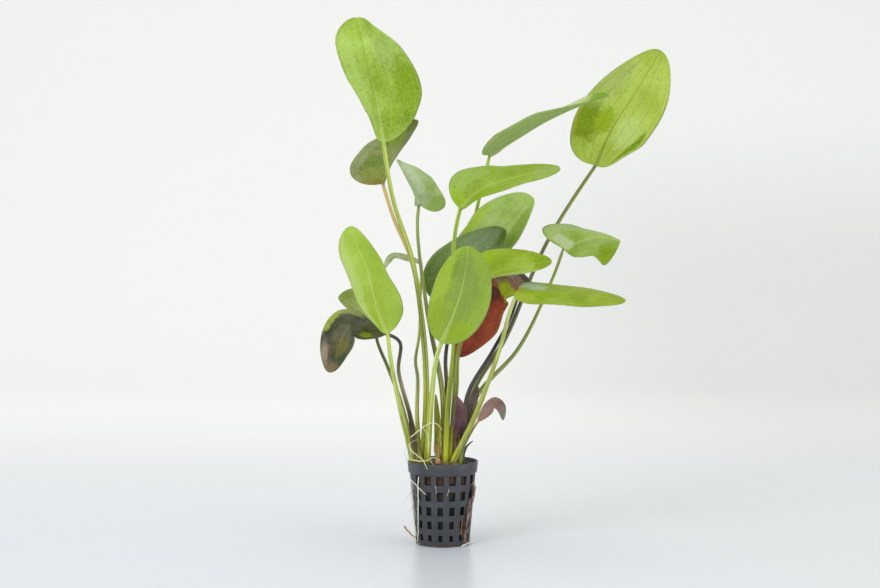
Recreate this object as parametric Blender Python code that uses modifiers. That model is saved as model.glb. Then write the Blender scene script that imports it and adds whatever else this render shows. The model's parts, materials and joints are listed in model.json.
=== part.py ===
"""A potted ozelot sword plant: a slotted net pot, its growing medium and a rosette of leaves.

The origin is the centre of the pot's underside. +X is the viewer's right, +Y is away from
the viewer and +Z is up. Leaf routes are written in millimetres and scaled to metres.
"""
import math
from typing import NamedTuple

import bmesh
import bpy
import numpy as np
from mathutils import Matrix

MM = 0.001
GAP = 0.3 * MM

# The net pot, a 50 mm basket that tapers to its foot.
POT_HEIGHT = 59 * MM
RIM_RADIUS = 25 * MM
COLLAR_RADIUS = 24.3 * MM
COLLAR_HEIGHT = 8 * MM
BODY_TOP_RADIUS = 23.2 * MM
FOOT_RADIUS = 19 * MM
WALL = 1.2 * MM
FLOOR = 1.6 * MM
CHAMFER = 0.6 * MM
POT_SIDES = 32

# Rows of windows in the pot's wall: the height of the middle, the window's height and width.
WINDOW_ROWS = (
    (47.0 * MM, 6.2 * MM, 5.0 * MM),
    (36.4 * MM, 6.2 * MM, 4.8 * MM),
    (25.6 * MM, 5.8 * MM, 4.2 * MM),
    (15.4 * MM, 5.6 * MM, 3.4 * MM),
    (6.2 * MM, 4.2 * MM, 2.8 * MM),
)
WINDOWS_PER_ROW = 16
FIRST_WINDOW_DEG = -95
CUTTER_DEPTH = 4 * WALL

# The growing medium, its top just below the rim, and the two crowns that stand on it.
MEDIUM_TOP = 56.8 * MM
MEDIUM_STEP_IN = 0.1 * MM
CROWN_TOP = 58.4 * MM
CROWN_SIDES = 14
CROWN_BEVEL = 1.5 * MM
CROWNS = {
    "crown_left": ((-15.0 * MM, -0.5 * MM), 7.6 * MM),
    "crown_right": ((5.2 * MM, -0.8 * MM), 10.4 * MM),
}

# Roots that lie on the outside of the pot's wall: a radius, a colour and the route, as
# seen from the front: across, height and lift from the wall, in millimetres.
WALL_ROOTS = {
    "wall_root_long": (
        0.5, "white_root",
        (
            (-16.9, 49.8, 1), (-17.4, 43, 1), (-17.2, 34, 1), (-17.3, 24, 1),
            (-17.3, 15, 1), (-17.4, 7, 1), (-17.9, 1.2, 1),
        ),
    ),
    "wall_root_crossing": (
        0.4, "white_root",
        (
            (-23.3, 46.6, 1.2), (-20.6, 45.2, 1.8), (-17.4, 42.6, 2.4),
            (-14.2, 39.6, 1.8), (-11.3, 37.4, 0.9),
        ),
    ),
}

# Free roots: a radius, a colour and the route in millimetres.
FREE_ROOTS = {
    "root_stub_brown": (
        0.6, "dry_brown",
        ((-27.4, -8, 13.4), (-24.5, -8, 9.8), (-21.7, -8, 7), (-18.9, -8, 5)),
    ),
    "root_on_table": (
        0.45, "white_root",
        ((12.8, -18, 0.6), (16.3, -14, 1.7), (19.9, -8, 2), (23.6, 0, 2)),
    ),
    "root_thread_arched": (
        0.45, "white_root",
        (
            (-22.6, -17.6, 77.2), (-19.4, -19.5, 80.3), (-14.5, -21, 84.3), (-11, -21.5, 86.9),
            (-6.8, -21.5, 88), (-3.3, -20, 86.4), (-0.6, -18, 82.6),
        ),
    ),
    "root_thread_low": (
        0.45, "white_root",
        (
            (-23.7, -14.6, 73), (-22.3, -16.4, 68.3), (-18, -19.4, 65.2), (-13.8, -21.8, 62),
            (-11.8, -23.2, 58), (-10.8, -23.2, 55.2),
        ),
    ),
    "root_thread_rim": (
        0.5, "white_root",
        (
            (-22.5, -10.5, 61.2), (-18.8, -15.6, 60.8), (-12.4, -18.6, 61), (-8.9, -18.6, 62.3),
            (-6.9, -16, 63), (-3.6, -14, 61.6), (-1.2, -12, 59.6),
        ),
    ),
}

# Where the half-widths of a blade are given, as a share of its length.
WIDTH_STATIONS = (0.1, 0.3, 0.5, 0.7, 0.9)

# The share of a blade over which its fold opens, and over which a basal lobe sweeps back. The
# sweep's curve is divided by its own peak.
FOLD_OPENS = 0.2
LOBE_REACH = 0.4
LOBE_PEAK = 0.325

# The sections of a stalk and of a blade, and the points across a blade.
PETIOLE_STATIONS = (0, 0.07, 0.24, 0.44, 0.64, 0.83, 1)
BLADE_STATIONS = (0.035, 0.1, 0.2, 0.32, 0.46, 0.6, 0.74, 0.87, 0.96)
ACROSS = (-1, -0.5, 0, 0.5, 1)
BLADE_HALF_THICKNESS = 0.3 * MM
TIP_HALF_THICKNESS = 0.35 * MM
RIB_TOP_SHARE = 0.6
FINE_STEPS = 240
CURVE_STEPS = 24
FRAME_SMOOTHING = FINE_STEPS // 4
WIDTH_SMOOTHING = FINE_STEPS // 15
SHARP_DEG = 35

SECTION_POINTS = 8

COLOURS = {
    "pot_plastic": ((0.055, 0.058, 0.062), 0.5),
    "medium": ((0.16, 0.085, 0.045), 0.95),
    "crown": ((0.42, 0.36, 0.16), 0.7),
    "bright_green": ((0.33, 0.50, 0.06), 0.42),
    "olive_green": ((0.20, 0.24, 0.07), 0.45),
    "grey_green": ((0.24, 0.34, 0.17), 0.4),
    "dark_green": ((0.08, 0.15, 0.05), 0.45),
    "red_brown": ((0.26, 0.05, 0.025), 0.45),
    "purple_brown": ((0.09, 0.055, 0.05), 0.45),
    "white_root": ((0.75, 0.72, 0.58), 0.6),
    "dry_brown": ((0.42, 0.28, 0.14), 0.75),
}


class LeafPlan(NamedTuple):
    """A leaf in millimetres: its stalk's route, its midrib's and what the blade does there."""

    name: str
    colour: str
    petiole: tuple      # from the crown to the base of the blade
    midrib: tuple       # onward from the base of the blade to its tip
    faces: tuple        # where the upper side faces, from base to tip
    left: tuple         # half-widths at the width stations
    right: tuple
    fold: tuple = (0, 0)        # degrees that each half rises from flat
    lobe: tuple = (0, 0)        # how far each basal lobe sweeps back
    stalk: tuple = (2.0, 1.2)   # radius at the crown and at the blade


LEAVES = (
    LeafPlan(
        "leaf_tall_left", "bright_green",
        petiole=(
            (-14.5, -2, 58.7), (-11.6, -2, 100), (-13, -1, 140),
            (-21, 3, 199), (-35, 9, 243), (-42, 12, 284),
        ),
        midrib=((-47, 13, 315), (-54, 15, 344), (-62, 20, 373)),
        faces=((0.5, -0.85, 0.2), (0.1, -0.95, 0.2)),
        left=(8, 18, 26, 28, 19), right=(20, 33, 32, 25, 11), fold=(30, 30), stalk=(2.2, 1.5),
    ),
    LeafPlan(
        "leaf_olive_behind", "olive_green",
        petiole=((-14, 3, 58.7), (-12, 10, 130), (-22, 16, 199), (-35, 24, 230), (-43, 28, 255)),
        midrib=((-38, 30, 270), (-29, 32, 285), (-18, 34, 301)),
        faces=((-0.5, -0.8, 0.2),),
        left=(26, 26, 19, 13, 7), right=(2, 3, 4, 6, 4), fold=(12, 20), lobe=(6, 1),
        stalk=(2.0, 1.3),
    ),
    LeafPlan(
        "leaf_grey_green", "grey_green",
        petiole=((-0.5, -2.5, 58.7), (0, 1, 105), (-11, 10, 164), (-18, 16, 222), (-17, 16, 240)),
        midrib=((-23, 16, 255), (-33, 16, 272)),
        faces=((0.7, -0.7, 0.1),),
        left=(7, 12, 12, 9, 4), right=(17, 17, 13, 9, 3), fold=(45, 45), lobe=(2, 12),
        stalk=(2.3, 1.1),
    ),
    LeafPlan(
        "leaf_edge_on", "bright_green",
        petiole=((4, 6.6, 58.7), (9, 26, 99), (13, 39, 171), (23, 42, 228), (34, 33, 276)),
        midrib=((51, 25, 286), (73, 17, 299), (95, 7, 309), (117, -3, 317)),
        faces=((-0.4, 0.35, 0.85), (-0.4, 0.2, 0.9), (-0.5, -0.45, 0.75)),
        left=(12, 14, 12, 8, 6), right=(13, 15, 13, 9, 5), fold=(25, 25), lobe=(6, 7),
        stalk=(1.9, 1.2),
    ),
    LeafPlan(
        "leaf_top_right", "bright_green",
        petiole=((8.8, 6.6, 58.7), (22, 18, 107), (45, 30, 143), (75, 42, 211), (112, 51, 269)),
        midrib=((124, 53, 296), (140, 55, 320), (160, 59, 353)),
        faces=((0.1, -0.95, -0.1),),
        left=(23, 30, 29, 23, 12), right=(13, 26, 27, 24, 14), fold=(8, 8), lobe=(5, 2),
        stalk=(2.0, 1.3),
    ),
    LeafPlan(
        "leaf_upper_centre", "bright_green",
        petiole=((1.8, -6.8, 58.7), (4, -9, 102), (8, -14, 143), (8, -18, 215), (12, -21, 237)),
        midrib=((21, -22, 247), (34, -23, 254), (55, -25, 260), (81, -27, 265)),
        faces=((-0.2, -0.75, 0.6),),
        left=(21, 18, 11, 8, 5), right=(5, 10, 11, 9, 7), fold=(10, 10), lobe=(1, 1),
        stalk=(1.9, 1.4),
    ),
    LeafPlan(
        "leaf_pale_behind", "bright_green",
        petiole=((6.3, 2.2, 58.7), (8, 12, 100), (12, 21, 143), (20, 30, 182), (24, 33, 195)),
        midrib=((38, 35, 211), (50, 37, 228), (65, 39, 246)),
        faces=((-0.3, -0.9, 0.1),),
        left=(21, 25, 26, 21, 12), right=(9, 14, 16, 14, 8), fold=(25, 25), lobe=(4, 4),
        stalk=(1.9, 1.2),
    ),
    LeafPlan(
        "leaf_folded_right", "bright_green",
        petiole=((11, 2, 58.7), (23.6, 12, 102), (54, 15, 137), (76, 6, 183), (85, 0, 209)),
        midrib=((93, 4, 212), (104, 8, 215.5), (115, 10, 216.5), (126, 8, 214)),
        faces=((-0.1, -0.85, 0.5), (-0.1, -0.6, 0.8), (-0.1, -0.5, 0.85)),
        left=(21, 21, 12, 6, 2), right=(7, 11, 12, 19, 17), fold=(5, -55), lobe=(9, 1),
        stalk=(1.9, 1.1),
    ),
    LeafPlan(
        "leaf_dark_centre", "dark_green",
        petiole=((1.8, 2, 58.7), (3, 7, 107), (2, 9, 130), (4, 12, 148), (5, 13, 167)),
        midrib=((14, 14, 183), (29, 17, 203), (44, 20, 223)),
        faces=((-0.1, -0.8, 0.6),),
        left=(24, 32, 29, 23, 12), right=(10, 13, 13, 11, 7), fold=(5, 5), lobe=(4, 2),
        stalk=(1.9, 1.2),
    ),
    LeafPlan(
        "leaf_front_centre", "bright_green",
        petiole=((-11, -6.5, 58.7), (-8, -24, 104), (-5, -39, 132), (-1, -48, 146)),
        midrib=((7, -52, 165), (13, -55, 184), (17, -60, 212)),
        faces=((0.1, -0.97, 0.1),),
        left=(13, 19, 20, 19, 12), right=(13, 20, 21.5, 19, 12), fold=(12, 12), stalk=(2.1, 1.5),
    ),
    LeafPlan(
        "leaf_centre_right", "bright_green",
        petiole=((4.2, -2.2, 58.7), (9.6, -8, 113), (10.6, -16, 135), (23, -30, 181), (28, -32, 190)),
        midrib=((38, -32, 194), (52, -32, 197), (75, -32, 201)),
        faces=((-0.1, -0.6, 0.8),),
        left=(20, 21, 18, 14, 7), right=(5, 9, 10, 10, 7), fold=(8, 8), lobe=(4, 1),
        stalk=(2.0, 1.2),
    ),
    LeafPlan(
        "leaf_low_right", "bright_green",
        petiole=((6.8, -7, 58.7), (23, -21, 94), (39, -33, 140), (46, -39, 167), (52, -42, 182)),
        midrib=((63, -44, 181), (80, -46, 180), (100, -48, 178), (124, -52, 175)),
        faces=((0, -0.4, 0.9),),
        left=(15, 17, 16, 14, 8), right=(15, 15, 15, 14, 8), fold=(-8, -8), lobe=(3, 6),
        stalk=(2.0, 1.3),
    ),
    LeafPlan(
        "leaf_red_arched", "red_brown",
        petiole=((13.5, -2.5, 58.7), (15.3, 1.5, 90), (18.8, 5, 108), (35, 9, 135), (48, 6, 160), (54, 0, 180)),
        midrib=((46, -2, 189), (35, -3, 188), (26, -3, 173), (18, -3, 152), (9, -4, 133)),
        faces=((-0.2, -0.5, 0.85), (-0.5, -0.7, 0.5), (-0.3, -0.9, -0.1)),
        left=(16, 20, 19, 20, 11), right=(10, 12, 10, 8, 5), fold=(-40, -20), lobe=(2, 16),
        stalk=(1.9, 1.2),
    ),
    LeafPlan(
        "leaf_left_bright", "bright_green",
        petiole=((-20.4, -3.2, 58.7), (-29, -20, 96), (-35, -27, 126), (-38, -33, 151)),
        midrib=((-45, -35, 168), (-52, -37, 195), (-59, -39, 212), (-64, -41, 225)),
        faces=((0.2, -0.95, 0.1),),
        left=(5, 12, 14.5, 15, 12), right=(15, 18, 13, 11, 7), fold=(10, 10), stalk=(2.5, 1.3),
    ),
    LeafPlan(
        "leaf_left_olive", "olive_green",
        petiole=((-19.5, 3, 58.7), (-30, 3, 101), (-39, 3, 125), (-46, 4, 142), (-49, 4, 158)),
        midrib=((-60, 6, 166), (-74, 8, 175)),
        faces=((0.1, -0.8, 0.5),),
        left=(4, 6, 6, 5, 3), right=(11, 15, 16, 14, 9), fold=(5, 5), stalk=(1.7, 1.1),
    ),
    LeafPlan(
        "leaf_left_purple", "purple_brown",
        petiole=((-15.7, -7.6, 58.7), (-23.6, -10.6, 94), (-31, -15, 124), (-30, -16, 144), (-40, -18, 150)),
        midrib=((-54, -19, 155), (-67, -21, 160), (-75, -25, 149), (-78, -28, 137), (-78, -31, 124)),
        faces=((-0.2, -0.5, 0.85),),
        left=(8, 12, 14, 15, 9), right=(5, 11, 12, 9, 5), fold=(-25, 10), stalk=(1.9, 1.2),
    ),
    LeafPlan(
        "leaf_narrow_arched", "grey_green",
        petiole=(
            (-16.5, 6.4, 58.7), (-18.4, 10.5, 92), (-18, 17, 116), (-19.6, 21, 128),
            (-17, 27, 146), (-16, 32, 179), (-15, 33, 198),
        ),
        midrib=((-25, 33, 201.5), (-36, 32, 203.5), (-42, 30, 194)),
        faces=((0.1, -0.3, 0.9),),
        left=(5, 7, 7, 5, 2), right=(4, 6, 5, 4, 2), stalk=(1.7, 0.9),
    ),
    LeafPlan(
        "young_leaf", "purple_brown",
        petiole=((12.5, -11.5, 58.7), (14, -17, 69), (19.5, -24, 81.5), (24.5, -28, 90)),
        midrib=((30, -29.5, 98), (35.5, -30, 103.5), (40, -31, 100), (41.5, -31, 91)),
        faces=((-0.3, -0.7, 0.6),),
        left=(3, 5.5, 5.2, 3.8, 2), right=(3, 5, 4.8, 3.4, 2), fold=(-10, -10), stalk=(1.2, 0.8),
    ),
    LeafPlan(
        "young_sheath", "purple_brown",
        petiole=((9.4, -2.5, 58.7), (9.2, -4, 70), (9.6, -6.5, 78)),
        midrib=((11, -9, 88), (11.5, -11, 97), (9, -12, 106)),
        faces=((0.2, -0.9, 0.2),),
        left=(3, 5, 5, 4, 2), right=(4, 6, 6, 5, 2.5), fold=(30, 30), stalk=(1.7, 1.3),
    ),
    LeafPlan(
        "young_sheath_right", "purple_brown",
        petiole=((11.2, -6.2, 58.7), (13.6, -5, 70), (16, -4.5, 82)),
        midrib=((18.2, -4.5, 92), (21.3, -4.8, 102), (25, -5.5, 112)),
        faces=((0, -0.95, 0.2),),
        left=(2, 3.5, 4, 3.5, 2), right=(2, 3.5, 4.5, 3.5, 2), fold=(15, 15), stalk=(1.2, 1.1),
    ),
    LeafPlan(
        "old_sheath_front", "dry_brown",
        petiole=((-3.4, -7.4, 58.7), (-3.4, -7.6, 61)),
        midrib=((-3.3, -8, 74), (-3.8, -8.6, 90), (-5, -9.5, 107)),
        faces=((0, -1, 0.1),),
        left=(2.9, 2.9, 2.7, 2.2, 1.3), right=(2.5, 2.6, 2.5, 2, 1.2), fold=(-20, -20), stalk=(1.8, 1.6),
    ),
    LeafPlan(
        "old_sheath_left", "dry_brown",
        petiole=((-17, -12.6, 58.7), (-18.5, -13.3, 66)),
        midrib=((-21, -15.5, 80), (-24, -17.5, 98)),
        faces=((0, -1, 0.2),),
        left=(1.6, 2, 2, 1.6, 1), right=(1.6, 2, 2, 1.6, 1), fold=(-30, -30), stalk=(1.3, 1.2),
    ),
    LeafPlan(
        "dry_spur", "purple_brown",
        petiole=((14.4, -7, 58.7), (14.8, -7.5, 64)),
        midrib=((17, -8.3, 70), (21.5, -9, 74)),
        faces=((0, -1, 0.2),),
        left=(0.7, 0.8, 0.7, 0.6, 0.4), right=(0.7, 0.8, 0.7, 0.6, 0.4), stalk=(1.0, 0.7),
    ),
)


def clear_scene():
    """Start from nothing."""
    for obj in list(bpy.data.objects):
        bpy.data.objects.remove(obj, do_unlink=True)


def new_collection(name):
    """A collection linked to the scene."""
    collection = bpy.data.collections.new(name)
    bpy.context.scene.collection.children.link(collection)
    return collection


def finish(name, colour):
    """A Principled material of its own for one part."""
    base, roughness = COLOURS[colour]
    material = bpy.data.materials.new(name)
    material.use_nodes = True
    shader = material.node_tree.nodes["Principled BSDF"]
    shader.inputs["Base Color"].default_value = (*base, 1)
    shader.inputs["Roughness"].default_value = roughness
    return material


def add_object(name, mesh, colour, collection):
    """Link a mesh to the scene as a named part."""
    obj = bpy.data.objects.new(name, mesh)
    obj.data.materials.append(finish(name, colour))
    collection.objects.link(obj)
    obj.data.shade_smooth()
    obj.data.set_sharp_from_angle(angle=math.radians(SHARP_DEG))
    return obj


def unit(rows):
    """Rows of vectors, each one metre long."""
    return rows / np.linalg.norm(rows, axis=-1, keepdims=True)


def smooth_route(points, count):
    """Points evenly spaced along a smooth curve that passes through the given ones."""
    points = np.asarray(points, float)
    step = np.linalg.norm(np.diff(points, axis=0), axis=1) ** 0.5
    slope = np.diff(points, axis=0) / step[:, None]
    heading = np.zeros_like(points)
    weight = (step[:-1] + step[1:])[:, None]
    heading[1:-1] = (slope[:-1] * step[1:, None] + slope[1:] * step[:-1, None]) / weight
    if len(points) > 2:
        heading[0] = 1.5 * slope[0] - 0.5 * heading[1]
        heading[-1] = 1.5 * slope[-1] - 0.5 * heading[-2]
    else:
        heading[:] = slope[0]
    s = np.linspace(0, 1, CURVE_STEPS, endpoint=False)[:, None]
    dense = []
    for i, span in enumerate(step):
        leaving = (2 * s**3 - 3 * s**2 + 1) * points[i] + (s**3 - 2 * s**2 + s) * span * heading[i]
        arriving = (3 * s**2 - 2 * s**3) * points[i + 1] + (s**3 - s**2) * span * heading[i + 1]
        dense.append(leaving + arriving)
    dense = np.concatenate(dense + [points[-1:]])
    run = np.concatenate([[0], np.cumsum(np.linalg.norm(np.diff(dense, axis=0), axis=1))])
    even = np.linspace(0, run[-1], count)
    return np.stack([np.interp(even, run, dense[:, axis]) for axis in range(3)], -1)


def soften(rows, reach):
    """A running average of rows along their length, which keeps the ends."""
    window = np.hanning(2 * reach + 3)[1:-1]
    window /= window.sum()
    padded = np.pad(rows, ((reach, reach), (0, 0)), mode="edge")
    columns = [np.convolve(padded[:, axis], window, "valid") for axis in range(rows.shape[1])]
    return np.stack(columns, -1)


def blade_frame(plan):
    """The midrib and the directions along it, up from it and to its right."""
    rib = smooth_route((plan.petiole[-1],) + plan.midrib, FINE_STEPS)
    along = unit(soften(unit(np.gradient(rib, axis=0)), FRAME_SMOOTHING))
    faces = np.asarray(plan.faces, float)
    share = np.linspace(0, 1, FINE_STEPS)
    knots = np.linspace(0, 1, len(faces))
    up = np.stack([np.interp(share, knots, faces[:, axis]) for axis in range(3)], -1)
    up = unit(up - np.sum(up * along, -1, keepdims=True) * along)
    return rib, along, up, unit(np.cross(along, up))


def half_width(widths, share):
    """Half-width of one side of a blade, round at both ends."""
    stations = np.asarray(WIDTH_STATIONS)
    fullness = np.asarray(widths, float) / np.sqrt(4 * stations * (1 - stations))
    grid = np.linspace(0, 1, FINE_STEPS)
    fullness = soften(np.interp(grid, stations, fullness)[:, None], WIDTH_SMOOTHING)[:, 0]
    return np.interp(share, grid, fullness) * np.sqrt(4 * share * (1 - share))


def blade_point(plan, frame, share, across):
    """A point of the blade's middle surface: share runs from base to tip, across from -1 to 1."""
    index = int(round(share * (FINE_STEPS - 1)))
    rib, along, up, right = (rows[index] for rows in frame)
    side = 0 if across < 0 else 1
    reach = abs(across) * float(half_width((plan.left, plan.right)[side], share))
    rise = math.radians(plan.fold[side]) * min(1, share / FOLD_OPENS)
    near = share / LOBE_REACH
    swept = math.sqrt(near) * (1 - near) ** 1.5 / LOBE_PEAK if near < 1 else 0
    back = plan.lobe[side] * abs(across) ** 1.5 * swept
    outward = right * math.copysign(math.cos(rise), across) + up * math.sin(rise)
    return rib + outward * reach - along * back


def petiole_ring(centre, right, up, radius):
    """Eight points round a stalk, in the order of a blade's section."""
    turns = [math.pi - 2 * math.pi * i / SECTION_POINTS for i in range(SECTION_POINTS)]
    return [centre + radius * (math.cos(a) * right + math.sin(a) * up) for a in turns]


def blade_ring(plan, frame, share):
    """Eight points round a blade: its left edge, over the top, its right edge and back below."""
    up = frame[2][int(round(share * (FINE_STEPS - 1)))]
    left, mid_left, rib, mid_right, right = (blade_point(plan, frame, share, u) for u in ACROSS)
    skin = up * BLADE_HALF_THICKNESS / MM
    tip = TIP_HALF_THICKNESS / MM
    keel = up * (tip + (plan.stalk[1] - tip) * (1 - share) ** 2)
    over = [left, mid_left + skin, rib + keel * RIB_TOP_SHARE, mid_right + skin, right]
    return over + [mid_right - skin, rib - keel, mid_left - skin]


def leaf_mesh(plan):
    """Loft one closed solid from the foot of the stalk to the tip of the blade."""
    frame = blade_frame(plan)
    rib, along, up, right = (rows[0] for rows in frame)
    route = smooth_route(plan.petiole, FINE_STEPS)
    headings = unit(np.gradient(route, axis=0))
    foot, neck = plan.stalk
    rings = []
    for share in PETIOLE_STATIONS:
        index = int(round(share * (FINE_STEPS - 1)))
        heading = headings[index] if share else np.array((0.0, 0.0, 1.0))
        sideways = right - heading * np.dot(right, heading)
        sideways /= np.linalg.norm(sideways)
        radius = neck + (foot - neck) * (1 - share) ** 2
        rings.append(petiole_ring(route[index], sideways, np.cross(sideways, heading), radius))
    rings += [blade_ring(plan, frame, share) for share in BLADE_STATIONS]
    shell = bmesh.new()
    loops = [[shell.verts.new(point * MM) for point in ring] for ring in rings]
    for lower, upper in zip(loops, loops[1:]):
        for i in range(SECTION_POINTS):
            j = (i + 1) % SECTION_POINTS
            shell.faces.new((lower[i], lower[j], upper[j], upper[i]))
    shell.faces.new(loops[0])
    tip = shell.verts.new(frame[0][-1] * MM)
    for i in range(SECTION_POINTS):
        shell.faces.new((loops[-1][i], loops[-1][(i + 1) % SECTION_POINTS], tip))
    bmesh.ops.triangulate(shell, faces=shell.faces)
    bmesh.ops.recalc_face_normals(shell, faces=shell.faces)
    mesh = bpy.data.meshes.new(plan.name)
    shell.to_mesh(mesh)
    shell.free()
    return mesh


def turned_object(name, profile):
    """A solid turned about +Z from a profile of (radius, height) that starts and ends on the axis."""
    outline = bpy.data.meshes.new(name + "_profile")
    points = [(radius, 0, height) for radius, height in profile]
    outline.from_pydata(points, [(i, i + 1) for i in range(len(points) - 1)], [])
    obj = bpy.data.objects.new(name, outline)
    screw = obj.modifiers.new("turn", "SCREW")
    screw.steps = POT_SIDES
    screw.render_steps = POT_SIDES
    screw.use_merge_vertices = True
    screw.merge_threshold = 0.00001
    screw.use_smooth_shade = False
    obj.rotation_euler.z = math.radians(FIRST_WINDOW_DEG + 180 / POT_SIDES)
    return obj


def add_pot(collection, cutters):
    """The basket: a turned wall and floor with windows cut through the wall."""
    inner_rim = RIM_RADIUS - WALL
    inner_step = BODY_TOP_RADIUS - WALL
    step_height = POT_HEIGHT - COLLAR_HEIGHT
    profile = (
        (0, FLOOR),
        (FOOT_RADIUS - WALL, FLOOR),
        (inner_step, step_height),
        (inner_rim, POT_HEIGHT),
        (RIM_RADIUS, POT_HEIGHT),
        (COLLAR_RADIUS, step_height),
        (BODY_TOP_RADIUS, step_height - CHAMFER),
        (FOOT_RADIUS, CHAMFER),
        (FOOT_RADIUS - CHAMFER, 0),
        (0, 0),
    )
    pot = turned_object("pot", profile)
    pot.data.materials.append(finish("pot", "pot_plastic"))
    collection.objects.link(pot)
    bpy.context.view_layer.update()
    graph = bpy.context.evaluated_depsgraph_get()
    solid = bpy.data.meshes.new_from_object(pot.evaluated_get(graph))
    solid.shade_smooth()
    solid.set_sharp_from_angle(angle=math.radians(SHARP_DEG))
    pot.modifiers.clear()
    pot.data = solid
    windows = bpy.data.meshes.new("pot_windows")
    shell = bmesh.new()
    for middle, height, width in WINDOW_ROWS:
        radius = FOOT_RADIUS + (BODY_TOP_RADIUS - FOOT_RADIUS) * middle / step_height - WALL / 2
        for i in range(WINDOWS_PER_ROW):
            turn = math.radians(FIRST_WINDOW_DEG + 360 * i / WINDOWS_PER_ROW)
            box = bmesh.ops.create_cube(shell, size=1)["verts"]
            bmesh.ops.scale(shell, verts=box, vec=(CUTTER_DEPTH, width, height))
            bmesh.ops.translate(shell, verts=box, vec=(radius, 0, middle))
            bmesh.ops.rotate(shell, verts=box, cent=(0, 0, 0), matrix=Matrix.Rotation(turn, 3, "Z"))
    shell.to_mesh(windows)
    shell.free()
    cutter = bpy.data.objects.new("pot_windows", windows)
    cutter.hide_render = True
    cutter.display_type = "WIRE"
    cutters.objects.link(cutter)
    cut = pot.modifiers.new("windows", "BOOLEAN")
    cut.operation = "DIFFERENCE"
    cut.object = cutter
    return pot


def add_medium(collection):
    """The plug of growing medium that fills the pot to just below its rim."""
    step_height = POT_HEIGHT - COLLAR_HEIGHT
    room = WALL + GAP
    collar_share = (MEDIUM_TOP - step_height) / COLLAR_HEIGHT
    top_radius = BODY_TOP_RADIUS + (RIM_RADIUS - BODY_TOP_RADIUS) * collar_share - room
    profile = (
        (0, MEDIUM_TOP),
        (top_radius, MEDIUM_TOP),
        (BODY_TOP_RADIUS - room - MEDIUM_STEP_IN, step_height),
        (FOOT_RADIUS - room, FLOOR + GAP),
        (0, FLOOR + GAP),
    )
    medium = turned_object("growing_medium", profile)
    medium.data.materials.append(finish("growing_medium", "medium"))
    collection.objects.link(medium)


def add_crown(name, centre, radius, collection):
    """A low knob from which one tuft of leaves springs."""
    shell = bmesh.new()
    height = CROWN_TOP - MEDIUM_TOP - GAP
    bmesh.ops.create_cone(
        shell, cap_ends=True, segments=CROWN_SIDES, radius1=radius, radius2=radius - CROWN_BEVEL,
        depth=height,
    )
    bmesh.ops.translate(shell, verts=shell.verts, vec=(*centre, MEDIUM_TOP + GAP + height / 2))
    mesh = bpy.data.meshes.new(name)
    shell.to_mesh(mesh)
    shell.free()
    add_object(name, mesh, "crown", collection)


def on_wall(across, height, lift):
    """A point beside the front of the pot's tapered wall, in millimetres."""
    taper = (BODY_TOP_RADIUS - FOOT_RADIUS) / (POT_HEIGHT - COLLAR_HEIGHT)
    radius = FOOT_RADIUS / MM + taper * height + lift
    return across, -math.sqrt(radius**2 - across**2), height


def add_root(name, radius, colour, route, collection):
    """A root as a round rod along a smooth route."""
    points = smooth_route(route, 2 * len(route) - 1)
    curve = bpy.data.curves.new(name, "CURVE")
    curve.dimensions = "3D"
    curve.bevel_depth = radius * MM
    curve.bevel_resolution = 1
    curve.use_fill_caps = True
    curve.materials.append(finish(name, colour))
    spline = curve.splines.new("POLY")
    spline.points.add(len(points) - 1)
    for knot, point in zip(spline.points, points):
        knot.co = (*(point * MM), 1)
    collection.objects.link(bpy.data.objects.new(name, curve))


clear_scene()
plant = new_collection("potted_ozelot_sword_plant")
cutter_collection = new_collection("cutters")
add_pot(plant, cutter_collection)
add_medium(plant)
for crown_name, (crown_centre, crown_radius) in CROWNS.items():
    add_crown(crown_name, crown_centre, crown_radius, plant)
for leaf in LEAVES:
    add_object(leaf.name, leaf_mesh(leaf), leaf.colour, plant)
for root_name, (root_radius, root_colour, seen) in WALL_ROOTS.items():
    add_root(root_name, root_radius, root_colour, [on_wall(*spot) for spot in seen], plant)
for root_name, (root_radius, root_colour, route) in FREE_ROOTS.items():
    add_root(root_name, root_radius, root_colour, route, plant)
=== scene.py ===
# %% [markdown]
# # A potted ozelot sword plant
#
# This lesson dresses a plain solid model of an aquarium plant: a rosette of long-stalked
# leaves that grow from two crowns in a small slotted net pot. The solid model gives every
# piece its size and place. Here each piece gets the surface that the real one has: thin
# leaves with veins and flecks, a moulded pot, a fibrous plug and fine roots.

# %% Load the solid model
import json
import math
from typing import NamedTuple

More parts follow.
